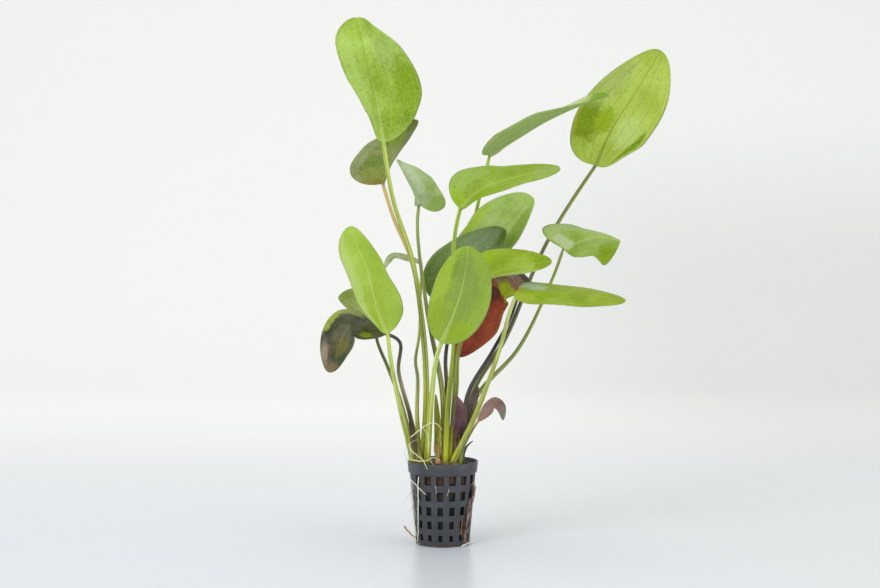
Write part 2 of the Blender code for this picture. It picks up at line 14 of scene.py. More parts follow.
import bmesh
import bpy
import numpy as np
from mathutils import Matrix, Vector

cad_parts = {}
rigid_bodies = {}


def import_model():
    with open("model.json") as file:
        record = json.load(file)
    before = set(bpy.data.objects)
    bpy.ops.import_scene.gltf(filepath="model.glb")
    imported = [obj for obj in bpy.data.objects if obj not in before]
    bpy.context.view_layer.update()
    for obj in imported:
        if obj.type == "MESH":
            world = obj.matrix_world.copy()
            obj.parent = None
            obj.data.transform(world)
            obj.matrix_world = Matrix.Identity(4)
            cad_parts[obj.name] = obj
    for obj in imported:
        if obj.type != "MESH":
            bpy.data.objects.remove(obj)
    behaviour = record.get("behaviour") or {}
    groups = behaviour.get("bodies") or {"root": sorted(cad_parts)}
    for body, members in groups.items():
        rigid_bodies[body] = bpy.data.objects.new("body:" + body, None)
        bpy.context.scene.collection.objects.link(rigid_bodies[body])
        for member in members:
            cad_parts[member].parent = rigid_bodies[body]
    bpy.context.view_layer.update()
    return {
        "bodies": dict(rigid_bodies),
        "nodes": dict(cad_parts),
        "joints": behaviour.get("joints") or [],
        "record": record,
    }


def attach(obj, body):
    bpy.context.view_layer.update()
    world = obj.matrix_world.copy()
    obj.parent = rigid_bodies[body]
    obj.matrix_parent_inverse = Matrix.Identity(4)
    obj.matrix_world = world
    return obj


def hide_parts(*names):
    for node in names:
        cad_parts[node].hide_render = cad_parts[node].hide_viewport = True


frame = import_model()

print("solid pieces:", len(frame["nodes"]))

# %% [markdown]
# ## Units and small helpers
#
# A plant is small, so every size below is written in millimetres and scaled to metres when
# a mesh is made. A lofted tube serves for leaves and roots alike, because both are a row of
# sections from a foot to a tip. It could also be a curve with a bevel, but a loft lets the
# section change from a round stalk into a flat blade without a seam.

# %% Units
MM = 0.001


def unit(rows):
    """Rows of vectors, each scaled to a length of one."""
    return rows / np.linalg.norm(rows, axis=-1, keepdims=True)


def ease(value, low, high):
    """Zero up to low, one from high on, and a smooth change between."""
    share = np.clip((value - low) / (high - low), 0, 1)
    return share * share * (3 - 2 * share)


print("4 on the way from 3 to 7, eased:", round(float(ease(4, 3, 7)), 3))


# %% A smooth route through points
CURVE_STEPS = 24


def smooth_route(points, count):
    """Points evenly spaced along a smooth curve that passes through the given ones."""
    points = np.asarray(points, float)
    step = np.linalg.norm(np.diff(points, axis=0), axis=1) ** 0.5
    slope = np.diff(points, axis=0) / step[:, None]
    heading = np.zeros_like(points)
    weight = (step[:-1] + step[1:])[:, None]
    heading[1:-1] = (slope[:-1] * step[1:, None] + slope[1:] * step[:-1, None]) / weight
    if len(points) > 2:
        heading[0] = 1.5 * slope[0] - 0.5 * heading[1]
        heading[-1] = 1.5 * slope[-1] - 0.5 * heading[-2]
    else:
        heading[:] = slope[0]
    s = np.linspace(0, 1, CURVE_STEPS, endpoint=False)[:, None]
    dense = []
    for i, span in enumerate(step):
        leaving = (2 * s**3 - 3 * s**2 + 1) * points[i] + (s**3 - 2 * s**2 + s) * span * heading[i]
        arriving = (3 * s**2 - 2 * s**3) * points[i + 1] + (s**3 - s**2) * span * heading[i + 1]
        dense.append(leaving + arriving)
    dense = np.concatenate(dense + [points[-1:]])
    run = np.concatenate([[0], np.cumsum(np.linalg.norm(np.diff(dense, axis=0), axis=1))])
    even = np.linspace(0, run[-1], count)
    return np.stack([np.interp(even, run, dense[:, axis]) for axis in range(3)], -1)


ROUTE_TRIED = smooth_route([(0, 0, 0), (0, 0, 60), (30, 0, 90)], 4)
print("a bent route in even steps:", ROUTE_TRIED.round(1).tolist())


# %% A closed loft
def loft(rings):
    """Points and faces of a closed tube through rings, its foot and its tip drawn to a point.

    rings has the shape (number of rings, points in a ring, 3).
    """
    count, size = rings.shape[:2]
    points = np.concatenate([rings.reshape(-1, 3), [rings[0].mean(0)], [rings[-1].mean(0)]])
    foot = count * size
    tip = foot + 1
    faces = []
    for row in range(count - 1):
        for i in range(size):
            j = (i + 1) % size
            lower, upper = row * size, (row + 1) * size
            faces.append((lower + i, lower + j, upper + j, upper + i))
    last = (count - 1) * size
    for i in range(size):
        j = (i + 1) % size
        faces.append((foot, j, i))
        faces.append((last + i, last + j, tip))
    return points, faces


print("faces of a loft through 3 rings of 4 points:", len(loft(np.zeros((3, 4, 3)))[1]))


# %% From points and faces to a piece of the plant
def make_mesh(name, points, faces):
    """A smooth closed mesh, from millimetres, with its faces turned outwards."""
    mesh = bpy.data.meshes.new(name)
    mesh.from_pydata((np.asarray(points) * MM).tolist(), [], faces)
    shell = bmesh.new()
    shell.from_mesh(mesh)
    bmesh.ops.recalc_face_normals(shell, faces=shell.faces)
    shell.to_mesh(mesh)
    shell.free()
    mesh.shade_smooth()
    return mesh


def add_piece(name, mesh, material, nodes=()):
    """Show a finished mesh, tie it to the plant and let it stand for solid nodes."""
    piece = bpy.data.objects.new(name, mesh)
    bpy.context.scene.collection.objects.link(piece)
    mesh.materials.clear()
    mesh.materials.append(material)
    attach(piece, "root")
    if nodes:
        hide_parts(*nodes)
    return piece


# %% [markdown]
# ## Building node trees
#
# Geometry Nodes and shaders are both trees of nodes. Made by hand in the editor they are
# hard to repeat, so this small class adds nodes from Python: each method returns an output
# socket, and a value handed to a method may be such a socket or a plain number.

# %% A node tree that reads like a formula
class Graph:
    """Adds nodes to one tree and joins them."""

    def __init__(self, tree):
        self.tree = tree

    def feed(self, socket, value):
        """Join a socket to another, or set its constant."""
        if isinstance(value, bpy.types.NodeSocket):
            self.tree.links.new(value, socket)
        elif value is not None:
            socket.default_value = value

    def add(self, kind, inputs=(), **settings):
        """A node with its settings made and its inputs fed, by name or by number."""
        node = self.tree.nodes.new(kind)
        for name, value in settings.items():
            setattr(node, name, value)
        for key, value in dict(inputs).items():
            self.feed(node.inputs[key], value)
        return node

    def calc(self, operation, *values):
        """The result of a Math node."""
        node = self.add("ShaderNodeMath", operation=operation)
        for socket, value in zip(node.inputs, values):
            self.feed(socket, value)
        return node.outputs[0]

    def times(self, first, second):
        """One value times another."""
        return self.calc("MULTIPLY", first, second)

    def vector(self, x, y, z):
        """Three values as one vector."""
        return self.add("ShaderNodeCombineXYZ", {"X": x, "Y": y, "Z": z}).outputs[0]

    def step(self, value, low, high):
        """Zero up to low, one from high on, and a smooth change between."""
        node = self.add("ShaderNodeMapRange", interpolation_type="SMOOTHSTEP")
        self.feed(node.inputs["Value"], value)
        self.feed(node.inputs["From Min"], low)
        self.feed(node.inputs["From Max"], high)
        return node.outputs["Result"]

    def fall(self, value, low, high):
        """One up to low, zero from high on."""
        return self.calc("SUBTRACT", 1, self.step(value, low, high))

    def mix(self, share, first, second, blend="MIX"):
        """One colour over another."""
        node = self.add("ShaderNodeMix", data_type="RGBA", blend_type=blend)
        self.feed(node.inputs["Factor"], share)
        self.feed(node.inputs[6], first)
        self.feed(node.inputs[7], second)
        return node.outputs[2]

    def tint(self, colour, mask, strength, over):
        """A colour with another laid over it where a mask says, and no stronger than given."""
        return self.mix(self.times(mask, strength), colour, over)

    def noise(self, place, scale, detail=3.0, stretch=None):
        """Soft random values round a half."""
        if stretch is not None:
            mapping = self.add("ShaderNodeMapping", {"Vector": place, "Scale": stretch})
            place = mapping.outputs[0]
        node = self.add("ShaderNodeTexNoise", {"Vector": place, "Scale": scale, "Detail": detail})
        return node.outputs[0]


print("a Graph can:", [name for name in vars(Graph) if not name.startswith("_")])


# %% Groups, skins and tones
def new_group(name, kind, inputs, outputs):
    """An empty node group with named sockets, and its Graph, inputs and output node."""
    tree = bpy.data.node_groups.new(name, kind)
    for title, socket_type, value in inputs:
        socket = tree.interface.new_socket(title, in_out="INPUT", socket_type=socket_type)
        if value is not None:
            socket.default_value = value
    for title, socket_type in outputs:
        tree.interface.new_socket(title, in_out="OUTPUT", socket_type=socket_type)
    graph = Graph(tree)
    given = graph.add("NodeGroupInput")
    result = graph.add("NodeGroupOutput")
    return graph, given.outputs, result


def group_values(graph, group, **inputs):
    """Place a shader group in a material. Underscores stand for spaces in its socket names."""
    node = graph.add("ShaderNodeGroup", node_tree=group)
    for name, value in inputs.items():
        graph.feed(node.inputs[name.replace("_", " ").title()], value)
    return node.outputs


def new_skin(name):
    """A new material, its Graph, its shader and the place on the piece, in metres."""
    material = bpy.data.materials.new(name)
    material.use_nodes = True
    graph = Graph(material.node_tree)
    shader = material.node_tree.nodes["Principled BSDF"]
    return material, graph, shader, graph.add("ShaderNodeTexCoord").outputs["Object"]


def tone(red, green, blue):
    """A colour as a screen shows it, 0 to 255, in the linear values that a shader wants."""
    shares = [value / 255 for value in (red, green, blue)]
    linear = [s / 12.92 if s <= 0.04045 else ((s + 0.055) / 1.055) ** 2.4 for s in shares]
    return (*linear, 1)


print("a middle grey in linear values:", [round(value, 3) for value in tone(128, 128, 128)])


# %% [markdown]
# ## Where each leaf grows
#
# A sword plant's leaf has a long stalk and an oval blade. Its whole shape follows from the
# route of the stalk, the route of the midrib, the half-widths of the blade and how far each
# half folds. The routes below are the solid model's own, in millimetres from the middle of
# the pot's underside, so that each dressed leaf lies exactly where its solid does.

# %% The leaves' routes and widths
class LeafPlan(NamedTuple):
    """A leaf in millimetres: its stalk's route, its midrib's and what the blade does there."""

    name: str
    colour: str         # the finish that the solid model gives it
    petiole: tuple      # from the crown to the base of the blade
    midrib: tuple       # onward from the base of the blade to its tip
    faces: tuple        # where the upper side faces, from base to tip
    left: tuple         # half-widths at the width stations
    right: tuple
    fold: tuple = (0, 0)        # degrees that each half rises from flat
    lobe: tuple = (0, 0)        # how far each basal lobe sweeps back
    stalk: tuple = (2.0, 1.2)   # radius at the crown and at the blade


print("a plan holds:", LeafPlan._fields)



# %% The leaves one by one
LEAVES = (
    LeafPlan(
        "leaf_tall_left", "bright_green",
        petiole=(
            (-14.5, -2, 58.7), (-11.6, -2, 100), (-13, -1, 140),
            (-21, 3, 199), (-35, 9, 243), (-42, 12, 284),
        ),
        midrib=((-47, 13, 315), (-54, 15, 344), (-62, 20, 373)),
        faces=((0.5, -0.85, 0.2), (0.1, -0.95, 0.2)),
        left=(8, 18, 26, 28, 19), right=(20, 33, 32, 25, 11), fold=(30, 30), stalk=(2.2, 1.5),
    ),
    LeafPlan(
        "leaf_olive_behind", "olive_green",
        petiole=((-14, 3, 58.7), (-12, 10, 130), (-22, 16, 199), (-35, 24, 230), (-43, 28, 255)),
        midrib=((-38, 30, 270), (-29, 32, 285), (-18, 34, 301)),
        faces=((-0.5, -0.8, 0.2),),
        left=(26, 26, 19, 13, 7), right=(2, 3, 4, 6, 4), fold=(12, 20), lobe=(6, 1),
        stalk=(2.0, 1.3),
    ),
    LeafPlan(
        "leaf_grey_green", "grey_green",
        petiole=((-0.5, -2.5, 58.7), (0, 1, 105), (-11, 10, 164), (-18, 16, 222), (-17, 16, 240)),
        midrib=((-23, 16, 255), (-33, 16, 272)),
        faces=((0.7, -0.7, 0.1),),
        left=(7, 12, 12, 9, 4), right=(17, 17, 13, 9, 3), fold=(45, 45), lobe=(2, 12),
        stalk=(2.3, 1.1),
    ),
    LeafPlan(
        "leaf_edge_on", "bright_green",
        petiole=((4, 6.6, 58.7), (9, 26, 99), (13, 39, 171), (23, 42, 228), (34, 33, 276)),
        midrib=((51, 25, 286), (73, 17, 299), (95, 7, 309), (117, -3, 317)),
        faces=((-0.4, 0.35, 0.85), (-0.4, 0.2, 0.9), (-0.5, -0.45, 0.75)),
        left=(12, 14, 12, 8, 6), right=(13, 15, 13, 9, 5), fold=(25, 25), lobe=(6, 7),
        stalk=(1.9, 1.2),
    ),
    LeafPlan(
        "leaf_top_right", "bright_green",
        petiole=((8.8, 6.6, 58.7), (22, 18, 107), (45, 30, 143), (75, 42, 211), (112, 51, 269)),
        midrib=((124, 53, 296), (140, 55, 320), (160, 59, 353)),
        faces=((0.1, -0.95, -0.1),),
        left=(23, 30, 29, 23, 12), right=(13, 26, 27, 24, 14), fold=(8, 8), lobe=(5, 2),
        stalk=(2.0, 1.3),
    ),
    LeafPlan(
        "leaf_upper_centre", "bright_green",
        petiole=((1.8, -6.8, 58.7), (4, -9, 102), (8, -14, 143), (8, -18, 215), (12, -21, 237)),
        midrib=((21, -22, 247), (34, -23, 254), (55, -25, 260), (81, -27, 265)),
        faces=((-0.2, -0.75, 0.6),),
        left=(21, 18, 11, 8, 5), right=(5, 10, 11, 9, 7), fold=(10, 10), lobe=(1, 1),
        stalk=(1.9, 1.4),
    ),
    LeafPlan(
        "leaf_pale_behind", "bright_green",
        petiole=((6.3, 2.2, 58.7), (8, 12, 100), (12, 21, 143), (20, 30, 182), (24, 33, 195)),
        midrib=((38, 35, 211), (50, 37, 228), (65, 39, 246)),
        faces=((-0.3, -0.9, 0.1),),
        left=(21, 25, 26, 21, 12), right=(9, 14, 16, 14, 8), fold=(25, 25), lobe=(4, 4),
        stalk=(1.9, 1.2),
    ),
    LeafPlan(
        "leaf_folded_right", "bright_green",
        petiole=((11, 2, 58.7), (23.6, 12, 102), (54, 15, 137), (76, 6, 183), (85, 0, 209)),
        midrib=((93, 4, 212), (104, 8, 215.5), (115, 10, 216.5), (126, 8, 214)),
        faces=((-0.1, -0.85, 0.5), (-0.1, -0.6, 0.8), (-0.1, -0.5, 0.85)),
        left=(21, 21, 12, 6, 2), right=(7, 11, 12, 19, 17), fold=(5, -55), lobe=(9, 1),
        stalk=(1.9, 1.1),
    ),
    LeafPlan(
        "leaf_dark_centre", "dark_green",
        petiole=((1.8, 2, 58.7), (3, 7, 107), (2, 9, 130), (4, 12, 148), (5, 13, 167)),
        midrib=((14, 14, 183), (29, 17, 203), (44, 20, 223)),
        faces=((-0.1, -0.8, 0.6),),
        left=(24, 32, 29, 23, 12), right=(10, 13, 13, 11, 7), fold=(5, 5), lobe=(4, 2),
        stalk=(1.9, 1.2),
    ),
    LeafPlan(
        "leaf_front_centre", "bright_green",
        petiole=((-11, -6.5, 58.7), (-8, -24, 104), (-5, -39, 132), (-1, -48, 146)),
        midrib=((7, -52, 165), (13, -55, 184), (17, -60, 212)),
        faces=((0.1, -0.97, 0.1),),
        left=(13, 19, 20, 19, 12), right=(13, 20, 21.5, 19, 12), fold=(12, 12), stalk=(2.1, 1.5),
    ),
    LeafPlan(
        "leaf_centre_right", "bright_green",
        petiole=((4.2, -2.2, 58.7), (9.6, -8, 113), (10.6, -16, 135), (23, -30, 181), (28, -32, 190)),
        midrib=((38, -32, 194), (52, -32, 197), (75, -32, 201)),
        faces=((-0.1, -0.6, 0.8),),
        left=(20, 21, 18, 14, 7), right=(5, 9, 10, 10, 7), fold=(8, 8), lobe=(4, 1),
        stalk=(2.0, 1.2),
    ),
    LeafPlan(
        "leaf_low_right", "bright_green",
        petiole=((6.8, -7, 58.7), (23, -21, 94), (39, -33, 140), (46, -39, 167), (52, -42, 182)),
        midrib=((63, -44, 181), (80, -46, 180), (100, -48, 178), (124, -52, 175)),
        faces=((0, -0.4, 0.9),),
        left=(15, 17, 16, 14, 8), right=(15, 15, 15, 14, 8), fold=(-8, -8), lobe=(3, 6),
        stalk=(2.0, 1.3),
    ),
    LeafPlan(
        "leaf_red_arched", "red_brown",
        petiole=(
            (13.5, -2.5, 58.7), (15.3, 1.5, 90), (18.8, 5, 108),
            (35, 9, 135), (48, 6, 160), (54, 0, 180),
        ),
        midrib=((46, -2, 189), (35, -3, 188), (26, -3, 173), (18, -3, 152), (9, -4, 133)),
        faces=((-0.2, -0.5, 0.85), (-0.5, -0.7, 0.5), (-0.3, -0.9, -0.1)),
        left=(16, 20, 19, 20, 11), right=(10, 12, 10, 8, 5), fold=(-40, -20), lobe=(2, 16),
        stalk=(1.9, 1.2),
    ),
    LeafPlan(
        "leaf_left_bright", "bright_green",
        petiole=((-20.4, -3.2, 58.7), (-29, -20, 96), (-35, -27, 126), (-38, -33, 151)),
        midrib=((-45, -35, 168), (-52, -37, 195), (-59, -39, 212), (-64, -41, 225)),
        faces=((0.2, -0.95, 0.1),),
        left=(5, 12, 14.5, 15, 12), right=(15, 18, 13, 11, 7), fold=(10, 10), stalk=(2.5, 1.3),
    ),
    LeafPlan(
        "leaf_left_olive", "olive_green",
        petiole=((-19.5, 3, 58.7), (-30, 3, 101), (-39, 3, 125), (-46, 4, 142), (-49, 4, 158)),
        midrib=((-60, 6, 166), (-74, 8, 175)),
        faces=((0.1, -0.8, 0.5),),
        left=(4, 6, 6, 5, 3), right=(11, 15, 16, 14, 9), fold=(5, 5), stalk=(1.7, 1.1),
    ),
    LeafPlan(
        "leaf_left_purple", "purple_brown",
        petiole=((-15.7, -7.6, 58.7), (-23.6, -10.6, 94), (-31, -15, 124), (-30, -16, 144), (-40, -18, 150)),
        midrib=((-54, -19, 155), (-67, -21, 160), (-75, -25, 149), (-78, -28, 137), (-78, -31, 124)),
        faces=((-0.2, -0.5, 0.85),),
        left=(8, 12, 14, 15, 9), right=(5, 11, 12, 9, 5), fold=(-25, 10), stalk=(1.9, 1.2),
    ),
    LeafPlan(
        "leaf_narrow_arched", "grey_green",
        petiole=(
            (-16.5, 6.4, 58.7), (-18.4, 10.5, 92), (-18, 17, 116), (-19.6, 21, 128),
            (-17, 27, 146), (-16, 32, 179), (-15, 33, 198),
        ),
        midrib=((-25, 33, 201.5), (-36, 32, 203.5), (-42, 30, 194)),
        faces=((0.1, -0.3, 0.9),),
        left=(5, 7, 7, 5, 2), right=(4, 6, 5, 4, 2), stalk=(1.7, 0.9),
    ),
    LeafPlan(
        "young_leaf", "purple_brown",
        petiole=((12.5, -11.5, 58.7), (14, -17, 69), (19.5, -24, 81.5), (24.5, -28, 90)),
        midrib=((30, -29.5, 98), (35.5, -30, 103.5), (40, -31, 100), (41.5, -31, 91)),
        faces=((-0.3, -0.7, 0.6),),
        left=(3, 5.5, 5.2, 3.8, 2), right=(3, 5, 4.8, 3.4, 2), fold=(-10, -10), stalk=(1.2, 0.8),
    ),
    LeafPlan(
        "young_sheath", "purple_brown",
        petiole=((9.4, -2.5, 58.7), (9.2, -4, 70), (9.6, -6.5, 78)),
        midrib=((11, -9, 88), (11.5, -11, 97), (9, -12, 106)),
        faces=((0.2, -0.9, 0.2),),
        left=(3, 5, 5, 4, 2), right=(4, 6, 6, 5, 2.5), fold=(30, 30), stalk=(1.7, 1.3),
    ),
    LeafPlan(
        "young_sheath_right", "purple_brown",
        petiole=((11.2, -6.2, 58.7), (13.6, -5, 70), (16, -4.5, 82)),
        midrib=((18.2, -4.5, 92), (21.3, -4.8, 102), (25, -5.5, 112)),
        faces=((0, -0.95, 0.2),),
        left=(2, 3.5, 4, 3.5, 2), right=(2, 3.5, 4.5, 3.5, 2), fold=(15, 15), stalk=(1.2, 1.1),
    ),
    LeafPlan(
        "old_sheath_front", "dry_brown",
        petiole=((-3.4, -7.4, 58.7), (-3.4, -7.6, 61)),
        midrib=((-3.3, -8, 74), (-3.8, -8.6, 90), (-5, -9.5, 107)),
        faces=((0, -1, 0.1),),
        left=(2.9, 2.9, 2.7, 2.2, 1.3), right=(2.5, 2.6, 2.5, 2, 1.2), fold=(-20, -20), stalk=(1.8, 1.6),
    ),
    LeafPlan(
        "old_sheath_left", "dry_brown",
        petiole=((-17, -12.6, 58.7), (-18.5, -13.3, 66)),
        midrib=((-21, -15.5, 80), (-24, -17.5, 98)),
        faces=((0, -1, 0.2),),
        left=(1.6, 2, 2, 1.6, 1), right=(1.6, 2, 2, 1.6, 1), fold=(-30, -30), stalk=(1.3, 1.2),
    ),
    LeafPlan(
        "dry_spur", "purple_brown",
        petiole=((14.4, -7, 58.7), (14.8, -7.5, 64)),
        midrib=((17, -8.3, 70), (21.5, -9, 74)),
        faces=((0, -1, 0.2),),
        left=(0.7, 0.8, 0.7, 0.6, 0.4), right=(0.7, 0.8, 0.7, 0.6, 0.4), stalk=(1.0, 0.7),
    ),
)
print("leaves and sheaths:", len(LEAVES))

# %% [markdown]
# ## The shape of a blade
#
# A blade is a thin plate that hangs on its midrib. Below it the midrib is a rod, which is
# the stalk running on and growing thinner. Each half bends up or down along an arc, the
# basal lobes sweep back past the stalk, the margin waves a little and the plate swells
# between the long veins. All of it is worked out for every point of a ring at once.

# %% The midrib and its directions
WIDTH_STATIONS = (0.1, 0.3, 0.5, 0.7, 0.9)
FOLD_OPENS = 0.2
LOBE_REACH = 0.4
LOBE_PEAK = 0.325
FINE_STEPS = 240


def soften(rows, reach):
    """A running average of rows along their length, which keeps the ends."""
    window = np.hanning(2 * reach + 3)[1:-1]
    window /= window.sum()
    padded = np.pad(rows, ((reach, reach), (0, 0)), mode="edge")
    columns = [np.convolve(padded[:, axis], window, "valid") for axis in range(rows.shape[1])]
    return np.stack(columns, -1)


def blade_frame(plan):
    """The midrib and the directions along it, up from it and to its right."""
    rib = smooth_route((plan.petiole[-1],) + plan.midrib, FINE_STEPS)
    along = unit(soften(unit(np.gradient(rib, axis=0)), FINE_STEPS // 4))
    faces = np.asarray(plan.faces, float)
    share = np.linspace(0, 1, FINE_STEPS)
    knots = np.linspace(0, 1, len(faces))
    up = np.stack([np.interp(share, knots, faces[:, axis]) for axis in range(3)], -1)
    up = unit(up - np.sum(up * along, -1, keepdims=True) * along)
    return rib, along, up, unit(np.cross(along, up))


def half_width(widths, share):
    """Half-width of one side of a blade, round at both ends."""
    stations = np.asarray(WIDTH_STATIONS)
    fullness = np.asarray(widths, float) / np.sqrt(4 * stations * (1 - stations))
    grid = np.linspace(0, 1, FINE_STEPS)
    fullness = soften(np.interp(grid, stations, fullness)[:, None], FINE_STEPS // 15)[:, 0]
    return np.interp(share, grid, fullness) * np.sqrt(np.clip(4 * share * (1 - share), 0, 1))


def sample(rows, share):
    """Rows of a fine table read at shares of its length."""
    grid = np.linspace(0, 1, len(rows))
    return np.stack([np.interp(share, grid, rows[:, axis]) for axis in range(3)], -1)


print("half-width in the middle of", LEAVES[0].name, round(float(half_width(LEAVES[0].left, 0.5)), 1))


# %% Where a section has its points
VEINS = (0.3, 0.6, 0.86)
VEIN_BANK = 0.025
ROD_STEPS = 4
ROD_SHARE = 0.05


def across_stations():
    """Shares of the half-width, from the midrib out, with three close together at each vein."""
    outer = [0.11, 0.2]
    for vein, after in zip(VEINS, (0.45, 0.73, 0.95)):
        outer += [vein - VEIN_BANK, vein, vein + VEIN_BANK, after]
    rod = [ROD_SHARE * i / ROD_STEPS for i in range(ROD_STEPS + 1)]
    return np.array(rod + outer + [1.0])


STATIONS = across_stations()
print("points round a leaf's section:", 4 * (len(STATIONS) - 1))

# %% One half of a blade, from the midrib to the margin
PLATE = 0.22            # half the plate's thickness
WAVE_LENGTHS = ((24, 8), (40, 12))      # the shortest wave along a margin and how much longer it may be
RIPPLE_LENGTH = 5.5     # from one cross-wise ripple to the next
RIPPLE_SLANT = 2.5
VEIN_RIDGE = 0.16       # how far a long vein stands out below
SWELLING = 0.35         # how far the plate rises between veins
CUP_DEG = 12


class Habit(NamedTuple):
    """How a blade departs from a plain bent plate."""

    wave: float = 0.35      # height of the waves along the margin
    cup: float = 1.0        # share of the usual cupping of each half


def half_blade(plan, habit, frame, share, rod, side, chance):
    """Points, upward directions and half-widths for one half; rows are sections."""
    rib, along, up, right = (sample(rows, share)[:, None, :] for rows in frame)
    sign = (-1, 1)[side]
    width = np.maximum(half_width((plan.left, plan.right)[side], share), rod * (1 - ease(share, 0, 0.15)))
    flat = ease(width / np.maximum(rod, 1e-6), 1, 3)[:, None]
    corner = np.linspace(0, math.pi / 2, len(STATIONS))
    in_rod = np.minimum(STATIONS / ROD_SHARE, 1)
    narrow = np.minimum(rod, width)[:, None]
    flat_reach = np.where(
        STATIONS <= ROD_SHARE,
        narrow * np.sin(in_rod * math.pi / 2),
        narrow + (width[:, None] - narrow) * (STATIONS - ROD_SHARE) / (1 - ROD_SHARE),
    )
    reach = (1 - flat) * width[:, None] * np.sin(corner) + flat * flat_reach
    part = reach / np.maximum(width, 1e-6)[:, None]
    opening = np.minimum(1, share / FOLD_OPENS)[:, None]
    rise = np.radians(plan.fold[side]) * opening
    rise = rise + np.radians(CUP_DEG * habit.cup) * opening * (2 * part - 1)
    mid_rise = (rise[:, 1:] + rise[:, :-1]) / 2
    span = np.diff(reach, axis=1)
    start = np.zeros((len(share), 1))
    outward = np.concatenate([start, np.cumsum(span * np.cos(mid_rise), axis=1)], 1)[..., None]
    upward = np.concatenate([start, np.cumsum(span * np.sin(mid_rise), axis=1)], 1)[..., None]
    near = np.clip(share / LOBE_REACH, 0, 1)
    swept = np.sqrt(near) * (1 - near) ** 1.5 / LOBE_PEAK
    back = (plan.lobe[side] * swept[:, None] * part**1.5)[..., None]
    normal = up * np.cos(rise)[..., None] - sign * right * np.sin(rise)[..., None]
    length = np.linalg.norm(np.diff(frame[0], axis=0), axis=1).sum()
    waves = sum(
        np.sin(2 * math.pi * (share * length / wavelength + chance.random()))
        for wavelength in [least + spread * chance.random() for least, spread in WAVE_LENGTHS]
    )
    edge = waves[:, None] * habit.wave / 2 * ease(part, 0.35, 1) * ease(share, 0.02, 0.2)[:, None]
    vein_number = np.interp(STATIONS, (0, *VEINS, 1), (0, 1, 2, 3, 3.6))
    bulge = np.abs(np.sin(math.pi * vein_number)) * ease(share, 0.05, 0.25)[:, None]
    ripples = share[:, None] * length / RIPPLE_LENGTH - RIPPLE_SLANT * part
    cross = 0.75 + 0.25 * np.sin(2 * math.pi * ripples)
    swell = SWELLING * bulge * cross * ease(width, 3, 14)[:, None]
    middle = rib + sign * right * outward + up * upward - along * back + normal * (edge + swell)[..., None]
    ridge = sum(np.exp(-(((STATIONS - vein) / (VEIN_BANK / 2)) ** 2)) for vein in VEINS)
    ridge = VEIN_RIDGE * ridge * ease(width, 4, 12)[:, None] * (1 - 0.6 * share)[:, None]
    plate = PLATE * np.sqrt(np.clip(1 - part**6, 0, 1)) * np.minimum(1, width / PLATE)[:, None]
    round_rod = np.sqrt(np.clip(1 - (reach / np.maximum(narrow, 1e-6)) ** 2, 0, 1)) * narrow
    over = (plate**3 + (round_rod * (1 - 0.65 * flat)) ** 3) ** (1 / 3)
    under = (plate**3 + round_rod**3) ** (1 / 3) + ridge * flat * np.sqrt(np.clip(1 - part**6, 0, 1))
    return middle, normal, over[..., None], under[..., None], width


print("the usual habit:", Habit())


# %% A whole leaf, from its foot to its tip
FOOT_SINKS = 1.6
FOOT_SWELLS = 0.14      # share by which a stalk swells toward its foot
STALK_RIDGES = 5
RIDGE_SHARE = 0.035     # height of a ridge as a share of the stalk's radius
TIP_ROD = 0.25          # radius of the midrib at the tip


def ring_of(left, right):
    """Join two halves of a section, each given from the middle out: over the top and back."""
    top = np.concatenate([left[0][:, ::-1], right[0][:, 1:]], 1)
    below = np.concatenate([right[1][:, -2::-1], left[1][:, 1:-1]], 1)
    return np.concatenate([top, below], 1)


def stalk_rings(plan, frame, count):
    """Round sections along the stalk, a little ridged, that start inside the crown."""
    route = smooth_route(plan.petiole, FINE_STEPS)
    headings = unit(np.gradient(route, axis=0))
    share = np.linspace(0, 1, count, endpoint=False)
    centre = sample(route, share)
    heading = unit(sample(headings, share))
    upright = np.array((0.0, 0.0, 1.0))
    start = (1 - ease(share, 0, 0.05))[:, None]
    heading = unit(start * upright + (1 - start) * heading)
    centre[:, 2] -= FOOT_SINKS * (1 - ease(share, 0, 0.04))
    right = unit(frame[3][0] - heading * (heading @ frame[3][0])[:, None])
    up = np.cross(right, heading)
    foot, neck = plan.stalk
    radius = (neck + (foot - neck) * (1 - share) ** 2) * (1 + FOOT_SWELLS * (1 - share))
    quarter = len(STATIONS) - 1
    half_turn = np.linspace(0, math.pi, 2 * quarter, endpoint=False)
    turns = np.concatenate([math.pi - half_turn, -half_turn])
    ridges = RIDGE_SHARE * np.cos(STALK_RIDGES * turns)
    ribbed = radius[:, None] * (1 + ridges[None] * ease(share, 0.02, 0.2)[:, None])
    offset = np.cos(turns)[None, :, None] * right[:, None] + np.sin(turns)[None, :, None] * up[:, None]
    rings = centre[:, None] + offset * ribbed[..., None]
    return rings, share - 1, radius, turns


def blade_rings(plan, habit, frame, count, seed):
    """Flat sections from the base of the blade to its tip, with what each point is."""
    chance = np.random.default_rng(seed)
    share = 0.5 - 0.5 * np.cos(math.pi * np.arange(count) / count)
    neck = plan.stalk[1]
    rod = TIP_ROD + (neck - TIP_ROD) * (1 - share) ** 1.3
    halves = [half_blade(plan, habit, frame, share, rod, side, chance) for side in (0, 1)]
    upper = [middle + normal * over for middle, normal, over, under, width in halves]
    lower = [middle - normal * under for middle, normal, over, under, width in halves]
    rings = ring_of((upper[0], lower[0]), (upper[1], lower[1]))
    place = np.broadcast_to(STATIONS, (count, len(STATIONS)))
    across = ring_of((-place, -place), (place, place))
    widths = [np.broadcast_to(half[4][:, None], place.shape) for half in halves]
    width = ring_of((widths[0], widths[0]), (widths[1], widths[1]))
    return rings, share, across, width


